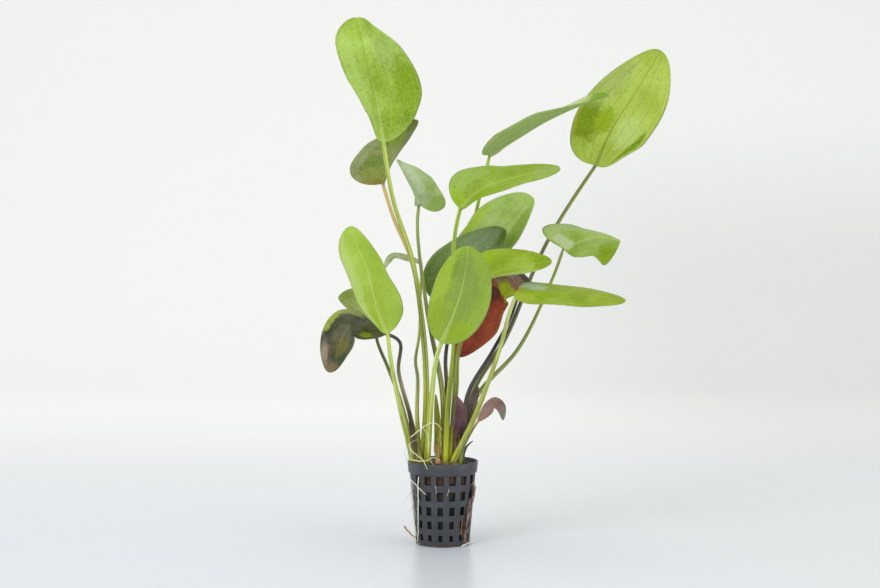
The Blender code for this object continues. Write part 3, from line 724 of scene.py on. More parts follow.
def leaf_mesh(plan, habit, seed, stalk_count, blade_count):
    """A closed leaf whose points know their place: across, along, half-width and side."""
    frame = blade_frame(plan)
    stalk, stalk_share, radius, turns = stalk_rings(plan, frame, stalk_count)
    blade, blade_share, across, width = blade_rings(plan, habit, frame, blade_count, seed)
    rings = np.concatenate([stalk, blade])
    points, faces = loft(rings)
    size = rings.shape[1]
    tip = frame[0][-1]
    points[-1] = tip
    along = np.repeat(np.concatenate([stalk_share, blade_share]), size)
    across = np.concatenate([np.tile(np.cos(turns), stalk_count), across.ravel()])
    width = np.concatenate([np.repeat(radius, size), width.ravel()])
    side = np.zeros(size)
    side[: size // 2 + 1] = 1
    side[[0, size // 2]] = 0.5
    place = np.stack([across, along, width], -1)
    place = np.concatenate([place, [(0, -1, radius[0])], [(0, 1, 0)]]).astype(np.float32)
    upper = np.concatenate([np.tile(side, len(rings)), [0.5, 0.5]]).astype(np.float32)
    mesh = make_mesh(plan.name, points, faces)
    mesh.attributes.new("leaf_place", "FLOAT_VECTOR", "POINT").data.foreach_set("vector", place.ravel())
    mesh.attributes.new("leaf_upper", "FLOAT", "POINT").data.foreach_set("value", upper)
    return mesh


rings_tried = stalk_rings(LEAVES[0], blade_frame(LEAVES[0]), 40)[0]
print("rings of a stalk, and points in each:", rings_tried.shape[:2])

# %% [markdown]
# ## What colours a leaf
#
# The long veins run from the base of the blade to its tip, pale above and raised below. A
# net of fine veins joins them. Ozelot leaves carry dark flecks and cloudy patches where
# older red-brown colour fades to green; some patches below are painted shade, painted
# shadow and painted sheen instead. Three node groups hold these effects, because
# every leaf uses them with values of its own. They read the place that each point of the
# leaf stores, so that a pattern follows the blade however it bends. The fourth group, fine
# grain, serves every other skin as well.

# %% Veins, as a node group
FLOAT = "NodeSocketFloat"
VECTOR = "NodeSocketVector"
WHOLE = "NodeSocketInt"
GEOMETRY = "NodeSocketGeometry"
PAINT = "NodeSocketMaterial"


def build_vein_group():
    """Masks for the midrib, the long veins and the fine net, and a height for all of them."""
    graph, given, result = new_group(
        "leaf_veins", "ShaderNodeTree",
        [("Place", VECTOR, None), ("Net", FLOAT, 0.4)],
        [("Midrib", FLOAT), ("Veins", FLOAT), ("Net", FLOAT), ("Rim", FLOAT), ("Height", FLOAT)],
    )
    parts = graph.add("ShaderNodeSeparateXYZ", {0: given["Place"]}).outputs
    across = graph.calc("ABSOLUTE", parts[0])
    along, width = parts[1], parts[2]
    on_blade = graph.step(along, -0.01, 0.02)
    aside = graph.times(across, width)
    rib_width = graph.calc("MULTIPLY_ADD", along, -0.65, 1.05)
    midrib = graph.fall(aside, graph.times(rib_width, 0.45), rib_width)
    midrib = graph.times(midrib, on_blade)
    rim = graph.times(graph.step(across, 0.93, 0.985), on_blade)
    thin = graph.calc("MULTIPLY_ADD", along, -0.3, 0.42)
    veins = None
    for vein in VEINS:
        apart = graph.calc("ABSOLUTE", graph.calc("SUBTRACT", across, vein))
        line = graph.fall(graph.times(apart, width), 0.1, thin)
        veins = line if veins is None else graph.calc("MAXIMUM", veins, line)
    veins = graph.times(veins, on_blade)
    run = graph.times(along, 34)
    slant = graph.calc("SUBTRACT", run, graph.times(across, 5))
    net_place = graph.vector(graph.times(parts[0], 7), slant, 0)
    cells = graph.add(
        "ShaderNodeTexVoronoi", {"Vector": net_place, "Scale": 1.0},
        feature="DISTANCE_TO_EDGE", voronoi_dimensions="2D",
    )
    net = graph.times(graph.fall(cells.outputs[0], 0.0, 0.09), on_blade)
    net = graph.times(net, given["Net"])
    sunk = graph.calc("ADD", graph.times(veins, 0.7), graph.times(net, 0.4))
    height = graph.calc("SUBTRACT", graph.times(midrib, 0.5), sunk)
    found = {"Midrib": midrib, "Veins": veins, "Net": net, "Rim": rim, "Height": height}
    for title, value in found.items():
        graph.feed(result.inputs[title], value)
    return graph.tree


leaf_veins = build_vein_group()
print("vein group:", [socket.name for socket in leaf_veins.interface.items_tree])


# %% A ragged patch, as a node group
def build_patch_group():
    """A soft oval mask at a place on the blade, with a ragged edge."""
    graph, given, result = new_group(
        "leaf_patch", "ShaderNodeTree",
        [
            ("Place", VECTOR, None), ("Surface", VECTOR, None),
            ("Across", FLOAT, 0.0), ("Along", FLOAT, 0.5),
            ("Reach Across", FLOAT, 0.3), ("Reach Along", FLOAT, 0.2),
        ],
        [("Mask", FLOAT)],
    )
    parts = graph.add("ShaderNodeSeparateXYZ", {0: given["Place"]}).outputs
    aside = graph.calc("DIVIDE", graph.calc("SUBTRACT", parts[0], given["Across"]), given["Reach Across"])
    ahead = graph.calc("DIVIDE", graph.calc("SUBTRACT", parts[1], given["Along"]), given["Reach Along"])
    square = graph.calc("ADD", graph.times(aside, aside), graph.times(ahead, ahead))
    far = graph.calc("SQRT", square)
    ragged = graph.times(graph.calc("SUBTRACT", graph.noise(given["Surface"], 260), 0.5), 0.9)
    graph.feed(result.inputs["Mask"], graph.fall(graph.calc("ADD", far, ragged), 0.6, 1.15))
    return graph.tree


leaf_patch = build_patch_group()
print("nodes in the patch group:", len(leaf_patch.nodes))


# %% Flecks, as a node group
def build_fleck_group():
    """Small dark spots and blotches scattered over a surface."""
    graph, given, result = new_group(
        "leaf_flecks", "ShaderNodeTree",
        [("Surface", VECTOR, None), ("Amount", FLOAT, 0.3), ("Scale", FLOAT, 620.0)],
        [("Mask", FLOAT)],
    )
    spots = graph.add(
        "ShaderNodeTexVoronoi", {"Vector": given["Surface"], "Scale": given["Scale"]}, feature="F1",
    )
    chosen = graph.add("ShaderNodeSeparateColor", {0: spots.outputs["Color"]}).outputs[0]
    chosen = graph.step(chosen, graph.calc("SUBTRACT", 1, given["Amount"]), 1.0)
    size = graph.times(chosen, 0.42)
    speck = graph.fall(spots.outputs["Distance"], graph.times(size, 0.5), size)
    present = graph.step(size, 0.02, 0.06)
    clouds = graph.step(graph.noise(given["Surface"], 90, 4.0), 0.42, 0.62)
    mask = graph.times(graph.times(speck, present), clouds)
    graph.feed(result.inputs["Mask"], mask)
    return graph.tree


leaf_flecks = build_fleck_group()
print("nodes in the fleck group:", len(leaf_flecks.nodes))


# %% Fine grain, as a node group
def build_grain_group():
    """A height for small irregular relief, from coarse to fine."""
    graph, given, result = new_group(
        "fine_grain", "ShaderNodeTree",
        [("Surface", VECTOR, None), ("Scale", FLOAT, 300.0)],
        [("Height", FLOAT)],
    )
    coarse = graph.noise(given["Surface"], given["Scale"], 4.0)
    fine = graph.noise(given["Surface"], graph.times(given["Scale"], 6), 2.0)
    height = graph.calc("ADD", graph.times(coarse, 0.7), graph.times(fine, 0.3))
    graph.feed(result.inputs["Height"], height)
    return graph.tree


fine_grain = build_grain_group()


def roughen(graph, shader, surface, scale, strength, depth):
    """Give a shader a bump of fine grain, its depth in millimetres."""
    grain = group_values(graph, fine_grain, surface=surface, scale=scale)[0]
    bump = graph.add("ShaderNodeBump", {"Height": grain, "Strength": strength, "Distance": depth * MM})
    graph.feed(shader.inputs["Normal"], bump.outputs[0])


print("node groups:", sorted(group.name for group in bpy.data.node_groups))

# %% [markdown]
# ## The colours of each leaf
#
# No two leaves share their colour: young ones are bright, old ones are olive, and the
# newest and oldest keep red-brown and purple. A record for each leaf gives its tones from
# dark to light, the pale veins, the underside, the stalk from foot to neck, the amount of
# flecks and the patches. Colours are written as a screen shows them, from 0 to 255.


# %% What a leaf's record holds
class Patch(NamedTuple):
    """A cloudy patch on a blade: where it is, how far it reaches and what it does there."""

    across: float
    along: float
    reach_across: float
    reach_along: float
    colour: tuple
    strength: float = 0.8
    speckled: bool = False      # whether it is made of specks


class LeafLook(NamedTuple):
    """The colours and finish of one leaf."""

    dark: tuple
    mid: tuple
    light: tuple
    vein: tuple
    under: tuple
    foot: tuple = (174, 174, 54)
    shaft: tuple = (140, 152, 64)
    neck: tuple = (160, 178, 84)
    flecks: float = 0.12
    gloss: float = 0.42         # roughness
    veining: float = 0.08       # how plainly the long veins show
    ribbing: float = 0.35       # how plainly the midrib shows
    edging: float = 0.35        # how plainly the grey margin shows
    mottling: float = 0.35      # how much darker clouds and fine specks break up the tone
    patches: tuple = ()
    habit: Habit = Habit()


print("a record holds:", LeafLook._fields)


# %% The records of all the leaves
MARGIN = (128, 130, 106)
LOOKS = {
    "leaf_tall_left": LeafLook(
        (134, 158, 40), (160, 184, 76), (176, 203, 100), (196, 214, 132), (168, 192, 112),
        foot=(168, 172, 48), shaft=(140, 150, 62), neck=(172, 190, 84), flecks=0.5, veining=0.25,
        mottling=0.7, habit=Habit(wave=1.0),
        patches=(
            # the paler patch over the left half is painted light, on the half that faces the front-left lamp
            Patch(-0.65, 0.5, 0.35, 0.5, (180, 206, 110), 0.7),
            Patch(0.6, 0.66, 0.4, 0.18, (152, 174, 92), 0.7),
            Patch(0.75, 0.38, 0.35, 0.26, (126, 152, 16), 0.95),
            Patch(0.25, 0.16, 0.3, 0.14, (138, 164, 34), 0.7),
            Patch(-0.3, 0.92, 0.5, 0.12, (162, 188, 62), 0.7),
        ),
    ),
    "leaf_olive_behind": LeafLook(
        (92, 102, 40), (124, 134, 62), (144, 150, 104), (150, 160, 104), (130, 138, 92),
        foot=(152, 158, 56), shaft=(140, 138, 66), neck=(186, 156, 96), flecks=0.6, gloss=0.4,
        mottling=1.0,
        patches=(
            Patch(-0.95, 0.3, 0.25, 0.4, (150, 150, 112), 0.7),
            Patch(-0.4, 0.62, 0.36, 0.12, (124, 148, 36), 0.7),
            Patch(0.8, 0.7, 0.4, 0.3, (142, 142, 120), 0.7),
            Patch(-0.45, 0.25, 0.25, 0.1, (100, 120, 30), 0.8),
            Patch(-0.35, 0.13, 0.5, 0.08, (134, 142, 56), 0.7),
            Patch(-0.4, 0.03, 0.9, 0.05, (136, 122, 36), 0.8),
        ),
    ),
    "leaf_grey_green": LeafLook(
        (148, 166, 94), (174, 188, 138), (196, 206, 172), (208, 216, 190), (166, 182, 130),
        foot=(166, 170, 70), shaft=(116, 124, 60), neck=(140, 154, 80), flecks=0.2, gloss=0.4,
        mottling=0.6,
        patches=(
            Patch(0.85, 0.1, 0.4, 0.14, (152, 176, 72), 0.8),
            # the pale patch in the middle is a painted sheen
            Patch(0.2, 0.5, 0.35, 0.35, (200, 210, 184), 0.6),
        ),
    ),
    "leaf_edge_on": LeafLook(
        (136, 158, 46), (154, 174, 68), (178, 190, 124), (190, 204, 150), (154, 172, 100),
        foot=(170, 174, 56), shaft=(132, 148, 56), neck=(164, 190, 60), flecks=0.14,
        patches=(
            Patch(-0.8, 0.5, 0.3, 0.5, (200, 202, 172), 0.6),
            Patch(-0.2, 0.96, 1.6, 0.13, (112, 146, 0), 0.95),
        ),
    ),
    "leaf_top_right": LeafLook(
        (160, 178, 66), (172, 188, 82), (182, 200, 98), (108, 122, 28), (176, 196, 118),
        foot=(156, 158, 70), shaft=(118, 118, 82), neck=(126, 130, 60), flecks=0.3, veining=0.36,
        ribbing=0.5, mottling=0.6, habit=Habit(wave=1.0),
        patches=(
            # the first two dark patches are the painted shadow that the edge-on leaf's tip casts on this
            # blade
            Patch(-0.68, 0.27, 0.42, 0.16, (118, 136, 0), 1.0),
            Patch(-0.28, 0.33, 0.25, 0.12, (142, 164, 8), 0.9),
            Patch(-0.98, 0.2, 0.14, 0.14, (150, 152, 34), 0.7),
            Patch(-0.7, 0.1, 0.3, 0.08, (166, 182, 66), 0.6),
            Patch(0.45, 0.33, 0.35, 0.16, (188, 206, 124), 0.7),
            Patch(0.84, 0.24, 0.1, 0.17, (108, 136, 0), 0.9),
            Patch(-0.75, 0.6, 0.4, 0.25, (162, 174, 100), 0.6),
            Patch(-0.6, 0.82, 0.5, 0.14, (126, 120, 50), 0.9, speckled=True),
        ),
    ),
    "leaf_upper_centre": LeafLook(
        (124, 148, 36), (134, 158, 52), (148, 172, 74), (166, 186, 92), (156, 178, 92),
        foot=(174, 180, 48), shaft=(148, 162, 58), neck=(164, 184, 80), flecks=0.2, mottling=0.5,
        patches=(
            Patch(-0.8, 0.2, 0.4, 0.2, (150, 174, 84), 0.6),
            Patch(0.6, 0.25, 0.5, 0.2, (126, 156, 10), 0.75),
            Patch(-0.4, 0.05, 0.7, 0.07, (146, 178, 16), 0.6),
            Patch(0.1, 0.88, 0.9, 0.14, (140, 160, 82), 0.7),
        ),
    ),
    "leaf_pale_behind": LeafLook(
        (150, 174, 76), (172, 195, 110), (182, 202, 126), (188, 208, 140), (160, 182, 104),
        shaft=(150, 156, 66), flecks=0.2, mottling=0.5,
        patches=(
            # this darker patch is painted shade on the half that turns away from the light
            Patch(0.6, 0.65, 0.4, 0.3, (138, 164, 54), 0.8),
            Patch(-0.9, 0.4, 0.2, 0.3, (172, 198, 56), 0.7),
        ),
    ),
    "leaf_folded_right": LeafLook(
        (126, 150, 40), (140, 164, 64), (158, 178, 98), (176, 192, 124), (138, 158, 40),
        foot=(168, 176, 66), shaft=(140, 150, 76), neck=(152, 164, 80), flecks=0.12, mottling=0.5,
        patches=(
            # the pale patch near the base is a painted sheen; the dark patch after it is painted shade on the
            # downturned half
            Patch(-0.2, 0.1, 0.55, 0.14, (178, 190, 150), 0.75),
            Patch(0.8, 0.8, 0.6, 0.2, (126, 148, 0), 0.95),
            Patch(-0.85, 0.5, 0.25, 0.5, (168, 182, 136), 0.5),
        ),
    ),
    "leaf_dark_centre": LeafLook(
        (74, 92, 34), (102, 122, 60), (128, 146, 100), (120, 140, 88), (96, 112, 66),
        foot=(134, 132, 40), shaft=(84, 76, 60), neck=(58, 50, 54), flecks=0.7, gloss=0.4,
        mottling=0.6,
        patches=(
            Patch(-0.4, 0.78, 0.6, 0.25, (112, 134, 94), 0.7),
            Patch(-0.8, 0.25, 0.3, 0.3, (92, 110, 46), 0.7),
            Patch(-0.75, 0.42, 0.2, 0.06, (40, 54, 26), 0.9, speckled=True),
            Patch(-0.2, 0.76, 0.35, 0.1, (196, 204, 176), 0.9, speckled=True),
            Patch(0.5, 0.95, 0.5, 0.1, (70, 96, 16), 0.8),
        ),
    ),
    "leaf_front_centre": LeafLook(
        (128, 152, 54), (140, 164, 66), (154, 180, 60), (188, 206, 112), (156, 178, 96),
        foot=(176, 184, 60), shaft=(176, 188, 84), neck=(190, 208, 116), flecks=0.12, veining=0.14,
        ribbing=0.5,
        patches=(
            Patch(-0.8, 0.6, 0.35, 0.5, (170, 194, 64), 0.8),
            Patch(0.1, 0.62, 0.5, 0.35, (130, 154, 74), 0.65),
            Patch(0.5, 0.14, 0.5, 0.14, (144, 172, 24), 0.7),
            Patch(-0.6, 0.2, 0.4, 0.26, (148, 172, 46), 0.75),
        ),
    ),
    "leaf_centre_right": LeafLook(
        (128, 152, 16), (142, 166, 44), (158, 180, 74), (166, 188, 84), (150, 172, 88),
        shaft=(146, 152, 62), flecks=0.16, mottling=0.4,
        patches=(
            Patch(0.2, 0.93, 1.2, 0.22, (120, 146, 0), 1.0),
            Patch(0.8, 0.4, 0.3, 0.4, (156, 176, 106), 0.7),
            Patch(-0.8, 0.18, 0.3, 0.1, (142, 176, 6), 0.7),
        ),
    ),
    "leaf_low_right": LeafLook(
        (116, 140, 6), (130, 152, 26), (144, 164, 58), (152, 172, 70), (150, 172, 76),
        foot=(176, 184, 64), shaft=(172, 180, 90), neck=(184, 194, 110), flecks=0.24, mottling=0.4,
        patches=(
            # this pale patch near the base is a painted sheen on the upper side
            Patch(-0.55, 0.13, 0.45, 0.14, (172, 186, 158), 0.8),
            Patch(0.15, 0.26, 0.25, 0.16, (122, 154, 0), 0.8),
            Patch(0.6, 0.1, 0.5, 0.12, (148, 164, 34), 0.8),
            Patch(-0.9, 0.7, 0.25, 0.5, (146, 152, 84), 0.6),
        ),
    ),
    "leaf_red_arched": LeafLook(
        (112, 44, 34), (152, 60, 44), (174, 84, 62), (150, 80, 66), (78, 62, 58),
        foot=(120, 110, 70), shaft=(66, 58, 64), neck=(54, 46, 54), flecks=0.4, gloss=0.32,
        patches=(
            Patch(0.2, 0.16, 0.8, 0.17, (118, 102, 82), 0.95),
            Patch(0.98, 0.14, 0.34, 0.14, (52, 58, 58), 1.0),
            Patch(-0.7, 0.15, 0.6, 0.16, (160, 176, 30), 1.0),
            Patch(-0.4, 0.36, 0.25, 0.09, (66, 40, 44), 0.9),
            Patch(0.2, 0.8, 0.7, 0.3, (160, 60, 44), 0.6),
        ),
        veining=0.1, ribbing=0.3, edging=0.15, mottling=0.7, habit=Habit(cup=0.4),
    ),
    "leaf_left_bright": LeafLook(
        (152, 177, 58), (162, 187, 72), (174, 200, 88), (200, 218, 122), (170, 192, 112),
        foot=(172, 180, 62), shaft=(160, 172, 84), neck=(182, 202, 92), flecks=0.12,
        patches=(
            Patch(-0.8, 0.6, 0.3, 0.6, (186, 206, 122), 0.7),
            Patch(0.6, 0.12, 0.4, 0.2, (160, 186, 70), 0.6),
            Patch(0.1, 0.25, 0.25, 0.25, (152, 178, 54), 0.5),
            Patch(-0.4, 0.14, 0.25, 0.12, (150, 182, 10), 0.6),
        ),
    ),
    "leaf_left_olive": LeafLook(
        (122, 134, 58), (142, 153, 84), (160, 170, 110), (168, 180, 120), (146, 156, 96),
        shaft=(108, 122, 50), neck=(92, 108, 44), flecks=0.2, gloss=0.4, mottling=0.7,
        patches=(Patch(0.6, 0.2, 0.5, 0.3, (112, 124, 50), 0.6),),
    ),
    "leaf_left_purple": LeafLook(
        (46, 48, 32), (72, 72, 54), (108, 104, 82), (96, 88, 66), (84, 74, 52),
        foot=(160, 160, 70), shaft=(128, 122, 88), neck=(78, 70, 66), flecks=0.5, gloss=0.38,
        veining=0.04, ribbing=0.2, mottling=1.0,
        patches=(
            Patch(1.0, 0.48, 0.5, 0.16, (156, 168, 66), 0.95),
            Patch(0.78, 0.34, 0.25, 0.1, (142, 148, 84), 0.9),
            Patch(-0.2, 0.13, 0.6, 0.12, (64, 74, 10), 0.8),
            Patch(-0.6, 0.18, 0.25, 0.07, (122, 132, 0), 0.95),
            Patch(-0.5, 0.7, 0.35, 0.13, (112, 104, 44), 0.85),
            Patch(0.6, 0.82, 0.4, 0.15, (160, 138, 120), 0.8),
            Patch(0.05, 0.74, 0.15, 0.12, (84, 68, 42), 0.8),
            Patch(0.0, 0.96, 1.0, 0.08, (130, 108, 80), 0.8),
        ),
        habit=Habit(cup=0.3),
    ),
    "leaf_narrow_arched": LeafLook(
        (112, 124, 60), (146, 157, 106), (188, 198, 164), (176, 186, 140), (130, 142, 88),
        shaft=(152, 160, 86), flecks=0.08, gloss=0.34, habit=Habit(wave=0.3, cup=0.4),
    ),
    "young_leaf": LeafLook(
        (112, 78, 76), (138, 108, 100), (154, 132, 126), (140, 96, 100), (128, 96, 92),
        foot=(152, 166, 72), shaft=(124, 130, 70), neck=(150, 128, 90), flecks=0.12, gloss=0.4,
        patches=(
            Patch(0.0, 0.9, 1.0, 0.2, (122, 122, 114), 0.8),
            Patch(0.0, 0.08, 1.0, 0.14, (150, 128, 90), 0.7),
        ),
        habit=Habit(wave=0.5, cup=0.3),
    ),
    "young_sheath": LeafLook(
        (70, 42, 54), (104, 70, 80), (134, 102, 110), (124, 88, 98), (88, 58, 68),
        foot=(134, 122, 76), shaft=(112, 84, 76), neck=(96, 62, 74), flecks=0.15, gloss=0.34,
        mottling=0.7, habit=Habit(wave=0.3, cup=0.3),
    ),
    "young_sheath_right": LeafLook(
        (66, 50, 50), (84, 68, 66), (112, 98, 92), (104, 84, 80), (76, 60, 58),
        foot=(128, 122, 78), shaft=(104, 90, 76), neck=(92, 70, 74), flecks=0.3, gloss=0.34,
        mottling=1.0, habit=Habit(wave=0.3, cup=0.3),
        patches=(Patch(0.7, 0.5, 0.3, 0.4, (110, 108, 70), 0.7),),
    ),
    "old_sheath_front": LeafLook(
        (116, 112, 36), (134, 138, 44), (166, 164, 80), (120, 118, 40), (120, 110, 50),
        foot=(184, 138, 96), shaft=(194, 148, 102), neck=(196, 150, 100), flecks=0.2, gloss=0.6,
        patches=(
            Patch(0.0, 0.04, 1.6, 0.22, (196, 154, 106), 0.9),
            Patch(0.5, 0.32, 0.6, 0.16, (206, 194, 108), 0.8),
            Patch(-0.3, 0.8, 1.2, 0.3, (110, 118, 20), 0.8),
        ),
        habit=Habit(wave=0.3, cup=0.2),
    ),
    "old_sheath_left": LeafLook(
        (60, 50, 44), (86, 74, 60), (120, 106, 84), (84, 72, 58), (86, 74, 58),
        foot=(142, 128, 60), shaft=(110, 98, 56), neck=(92, 80, 62), flecks=0.3, gloss=0.6,
        habit=Habit(wave=0.3, cup=0.2),
    ),
    "dry_spur": LeafLook(
        (70, 62, 58), (96, 86, 78), (122, 110, 100), (84, 74, 68), (82, 72, 66),
        foot=(110, 104, 72), shaft=(98, 92, 78), neck=(88, 80, 74), flecks=0.1, gloss=0.6,
        habit=Habit(wave=0.0, cup=0.1),
    ),
}
print("leaf records:", len(LOOKS), "of", len(LEAVES))


# %% [markdown]
# ## From a record to a leaf
#
# A leaf's skin is thin and wet, so light enters it, spreads and comes out again a little
# greener, and its stalk has a waxy coat with dark streaks along the fibres and pale streaks
# that are painted highlights. One function turns a record into layers: a cloud of three
# tones, the underside, the patches, fine mottling, flecks, veins, the margin and last the
# stalk. A painted picture could hold the same, but it would blur from close by and each
# leaf would need its own.

# %% The stalk's colour
STREAKS = (2.4, 3.5, 30)    # how often streaks change across, along and from stalk to stalk


def stalk_colour(graph, across, along, surface, look):
    """The stalk's colour from its foot to its neck, with dark streaks along it and pale streaks that are
    painted highlights.
    """
    lower = graph.step(along, -1.0, -0.6)
    upper = graph.step(along, -0.5, -0.05)
    colour = graph.mix(lower, tone(*look.foot), tone(*look.shaft))
    colour = graph.mix(upper, colour, tone(*look.neck))
    aside = graph.add("ShaderNodeSeparateXYZ", {0: surface}).outputs[0]
    place = graph.vector(*map(graph.times, (across, along, aside), STREAKS))
    run = graph.noise(place, 1.0, 3.0)
    deep = graph.mix(0.5, colour, colour, "MULTIPLY")
    # pale streaks: painted highlights along the waxy stalk
    painted_highlight = graph.mix(0.85, colour, colour, "SCREEN")
    colour = graph.mix(graph.step(run, 0.5, 0.62), colour, deep)
    return graph.mix(graph.fall(run, 0.4, 0.5), colour, painted_highlight)


print("streaks across, along and from stalk to stalk:", STREAKS)


# %% The material of one leaf
CLOUDS = 55.0       # scales of noise, from the largest clouds of tone to single specks
MOTTLES = 420.0
SPECKS = 1100.0
PATCH_SPECKS = 800.0


def leaf_material(name, look):
    """A thin, slightly translucent leaf with veins, patches and flecks."""
    material, graph, shader, surface = new_skin(name)
    place = graph.add("ShaderNodeAttribute", attribute_name="leaf_place").outputs["Vector"]
    upper = graph.add("ShaderNodeAttribute", attribute_name="leaf_upper").outputs["Fac"]
    across, along = graph.add("ShaderNodeSeparateXYZ", {0: place}).outputs[:2]
    veins = group_values(graph, leaf_veins, place=place)
    cloud = graph.noise(surface, CLOUDS, 4.0)
    colour = graph.mix(graph.step(cloud, 0.3, 0.55), tone(*look.dark), tone(*look.mid))
    colour = graph.mix(graph.step(cloud, 0.48, 0.75), colour, tone(*look.light))
    mottle = graph.noise(surface, MOTTLES)
    below = graph.tint(tone(*look.under), veins["Veins"], 0.4, tone(*look.vein))
    colour = graph.mix(graph.fall(upper, 0.2, 0.6), colour, below)
    for patch in look.patches:
        mask = group_values(
            graph, leaf_patch, place=place, surface=surface, across=patch.across, along=patch.along,
            reach_across=patch.reach_across, reach_along=patch.reach_along,
        )[0]
        if patch.speckled:
            specks = group_values(graph, leaf_flecks, surface=surface, amount=1.0, scale=PATCH_SPECKS)[0]
            mask = graph.times(mask, specks)
        colour = graph.tint(colour, mask, patch.strength, tone(*patch.colour))
    deep = graph.mix(0.55, colour, tone(*look.dark), "MULTIPLY")
    dull = graph.times(graph.step(mottle, 0.5, 0.68), look.mottling)
    colour = graph.tint(colour, dull, 0.5, deep)
    speckle = graph.noise(surface, SPECKS, 2.0)
    fine = graph.times(graph.step(speckle, 0.5, 0.66), look.mottling)
    colour = graph.tint(colour, fine, 0.35, deep)
    bright = graph.times(graph.fall(speckle, 0.36, 0.5), look.mottling)
    colour = graph.tint(colour, bright, 0.35, tone(*look.light))
    flecks = group_values(graph, leaf_flecks, surface=surface, amount=look.flecks)[0]
    dark_fleck = tuple(0.55 * value for value in look.dark)
    for mask, strength, over in (
        (flecks, 0.7, dark_fleck),
        (veins["Net"], 0.2, look.vein),
        (veins["Veins"], look.veining, look.vein),
        (veins["Midrib"], look.ribbing, look.vein),
        (veins["Rim"], look.edging, MARGIN),
    ):
        colour = graph.tint(colour, mask, strength, tone(*over))
    stalk = stalk_colour(graph, across, along, surface, look)
    colour = graph.mix(graph.fall(along, -0.012, 0.006), colour, stalk)
    graph.feed(shader.inputs["Base Color"], colour)
    shine = graph.calc("MULTIPLY_ADD", graph.calc("SUBTRACT", mottle, 0.5), 0.25, look.gloss)
    graph.feed(shader.inputs["Roughness"], shine)
    on_stalk = graph.fall(along, -0.02, 0.0)
    graph.feed(shader.inputs["Coat Weight"], graph.times(on_stalk, 0.5))
    shader.inputs["Coat Roughness"].default_value = 0.2
    grain = group_values(graph, fine_grain, surface=surface, scale=700.0)[0]
    height = graph.calc("MULTIPLY_ADD", grain, 0.25, veins["Height"])
    bump = graph.add("ShaderNodeBump", {"Height": height, "Strength": 0.35, "Distance": 0.0003})
    graph.feed(shader.inputs["Normal"], bump.outputs[0])
    shader.inputs["Subsurface Weight"].default_value = 0.18
    shader.inputs["Subsurface Radius"].default_value = (0.5, 1.0, 0.2)
    shader.inputs["Subsurface Scale"].default_value = 0.002
    shader.inputs["Specular IOR Level"].default_value = 0.14
    return material


print("noise from clouds to specks:", CLOUDS, MOTTLES, SPECKS)


# %% Grow the leaves
SECTIONS = (40, 72)         # along a stalk and along a blade
FEW_SECTIONS = (16, 30)     # for the small leaves at the crown
SMALL_LEAVES = (
    "young_leaf", "young_sheath", "young_sheath_right", "old_sheath_front", "old_sheath_left", "dry_spur",
)
for number, plan in enumerate(LEAVES):
    look = LOOKS[plan.name]
    sections = FEW_SECTIONS if plan.name in SMALL_LEAVES else SECTIONS
    mesh = leaf_mesh(plan, look.habit, number, *sections)
    add_piece(plan.name + "_grown", mesh, leaf_material(plan.name, look), [plan.name])
    print(plan.name, "faces:", len(mesh.polygons))

# %% [markdown]
# ## The slotted pot
#
# A net pot is moulded in one piece: a thin tapered wall with rows of windows and a plain
# collar under a rounded rim. The wall is a turned profile. The windows repeat, so a
# Geometry Nodes tree places a cutting block for each one on a grid of points and takes
# them all out of the wall in one Boolean. Cutting eighty holes by hand would give the same
# shape, but their sizes could not be changed afterwards.

# %% The pot's sizes and its turned wall
POT_HEIGHT = 59.0
RIM_RADIUS = 25.0
COLLAR_RADIUS = 24.3
COLLAR_HEIGHT = 8.0
BODY_TOP_RADIUS = 23.2
FOOT_RADIUS = 19.0
WALL = 1.2
FLOOR = 1.6
CHAMFER = 0.6
FIRST_WINDOW_DEG = -95
POT_SIDES = 160
STEP_HEIGHT = POT_HEIGHT - COLLAR_HEIGHT


def arc(centre, radius, start_deg, end_deg, count=5):
    """Points of a profile on an arc, as (radius, height)."""
    turns = np.radians(np.linspace(start_deg, end_deg, count))
    return [(centre[0] + radius * math.cos(t), centre[1] + radius * math.sin(t)) for t in turns]


def turned(profile, sides):
    """Points and faces of a solid turned about the Z axis, from a profile off the axis."""
    turns = np.linspace(0, 2 * math.pi, sides, endpoint=False)
    rings = [[(r * math.cos(t), r * math.sin(t), z) for t in turns] for r, z in profile]
    return loft(np.array(rings))


def pot_profile():
    """From the middle of the floor inside, up the wall, over the rim and down outside."""
    rim = WALL / 2
    inside = [(0.5, FLOOR), (FOOT_RADIUS - WALL - 1, FLOOR)]
    inside += [(FOOT_RADIUS - WALL - 0.3, FLOOR + 0.3), (FOOT_RADIUS - WALL + 0.15, FLOOR + 1.2)]
    inside += [(BODY_TOP_RADIUS - WALL, STEP_HEIGHT), (RIM_RADIUS - WALL, POT_HEIGHT - rim)]
    over = arc((RIM_RADIUS - rim, POT_HEIGHT - rim), rim, 180, 0, 9)[1:]
    collar = [(COLLAR_RADIUS, STEP_HEIGHT + 0.3)]
    collar += arc((COLLAR_RADIUS - 0.3, STEP_HEIGHT + 0.3), 0.3, 0, -90, 4)[1:]
    body = [(BODY_TOP_RADIUS + 0.2, STEP_HEIGHT - 0.1), (BODY_TOP_RADIUS, STEP_HEIGHT - 0.6)]
    foot = arc((FOOT_RADIUS - CHAMFER, CHAMFER), CHAMFER, 0, -90, 5)
    return inside + over + collar + body + foot + [(FOOT_RADIUS - 3, 0.0), (0.5, 0.0)]


pot_wall = make_mesh("pot_wall", *turned(pot_profile(), POT_SIDES))
print("turned wall faces:", len(pot_wall.polygons))


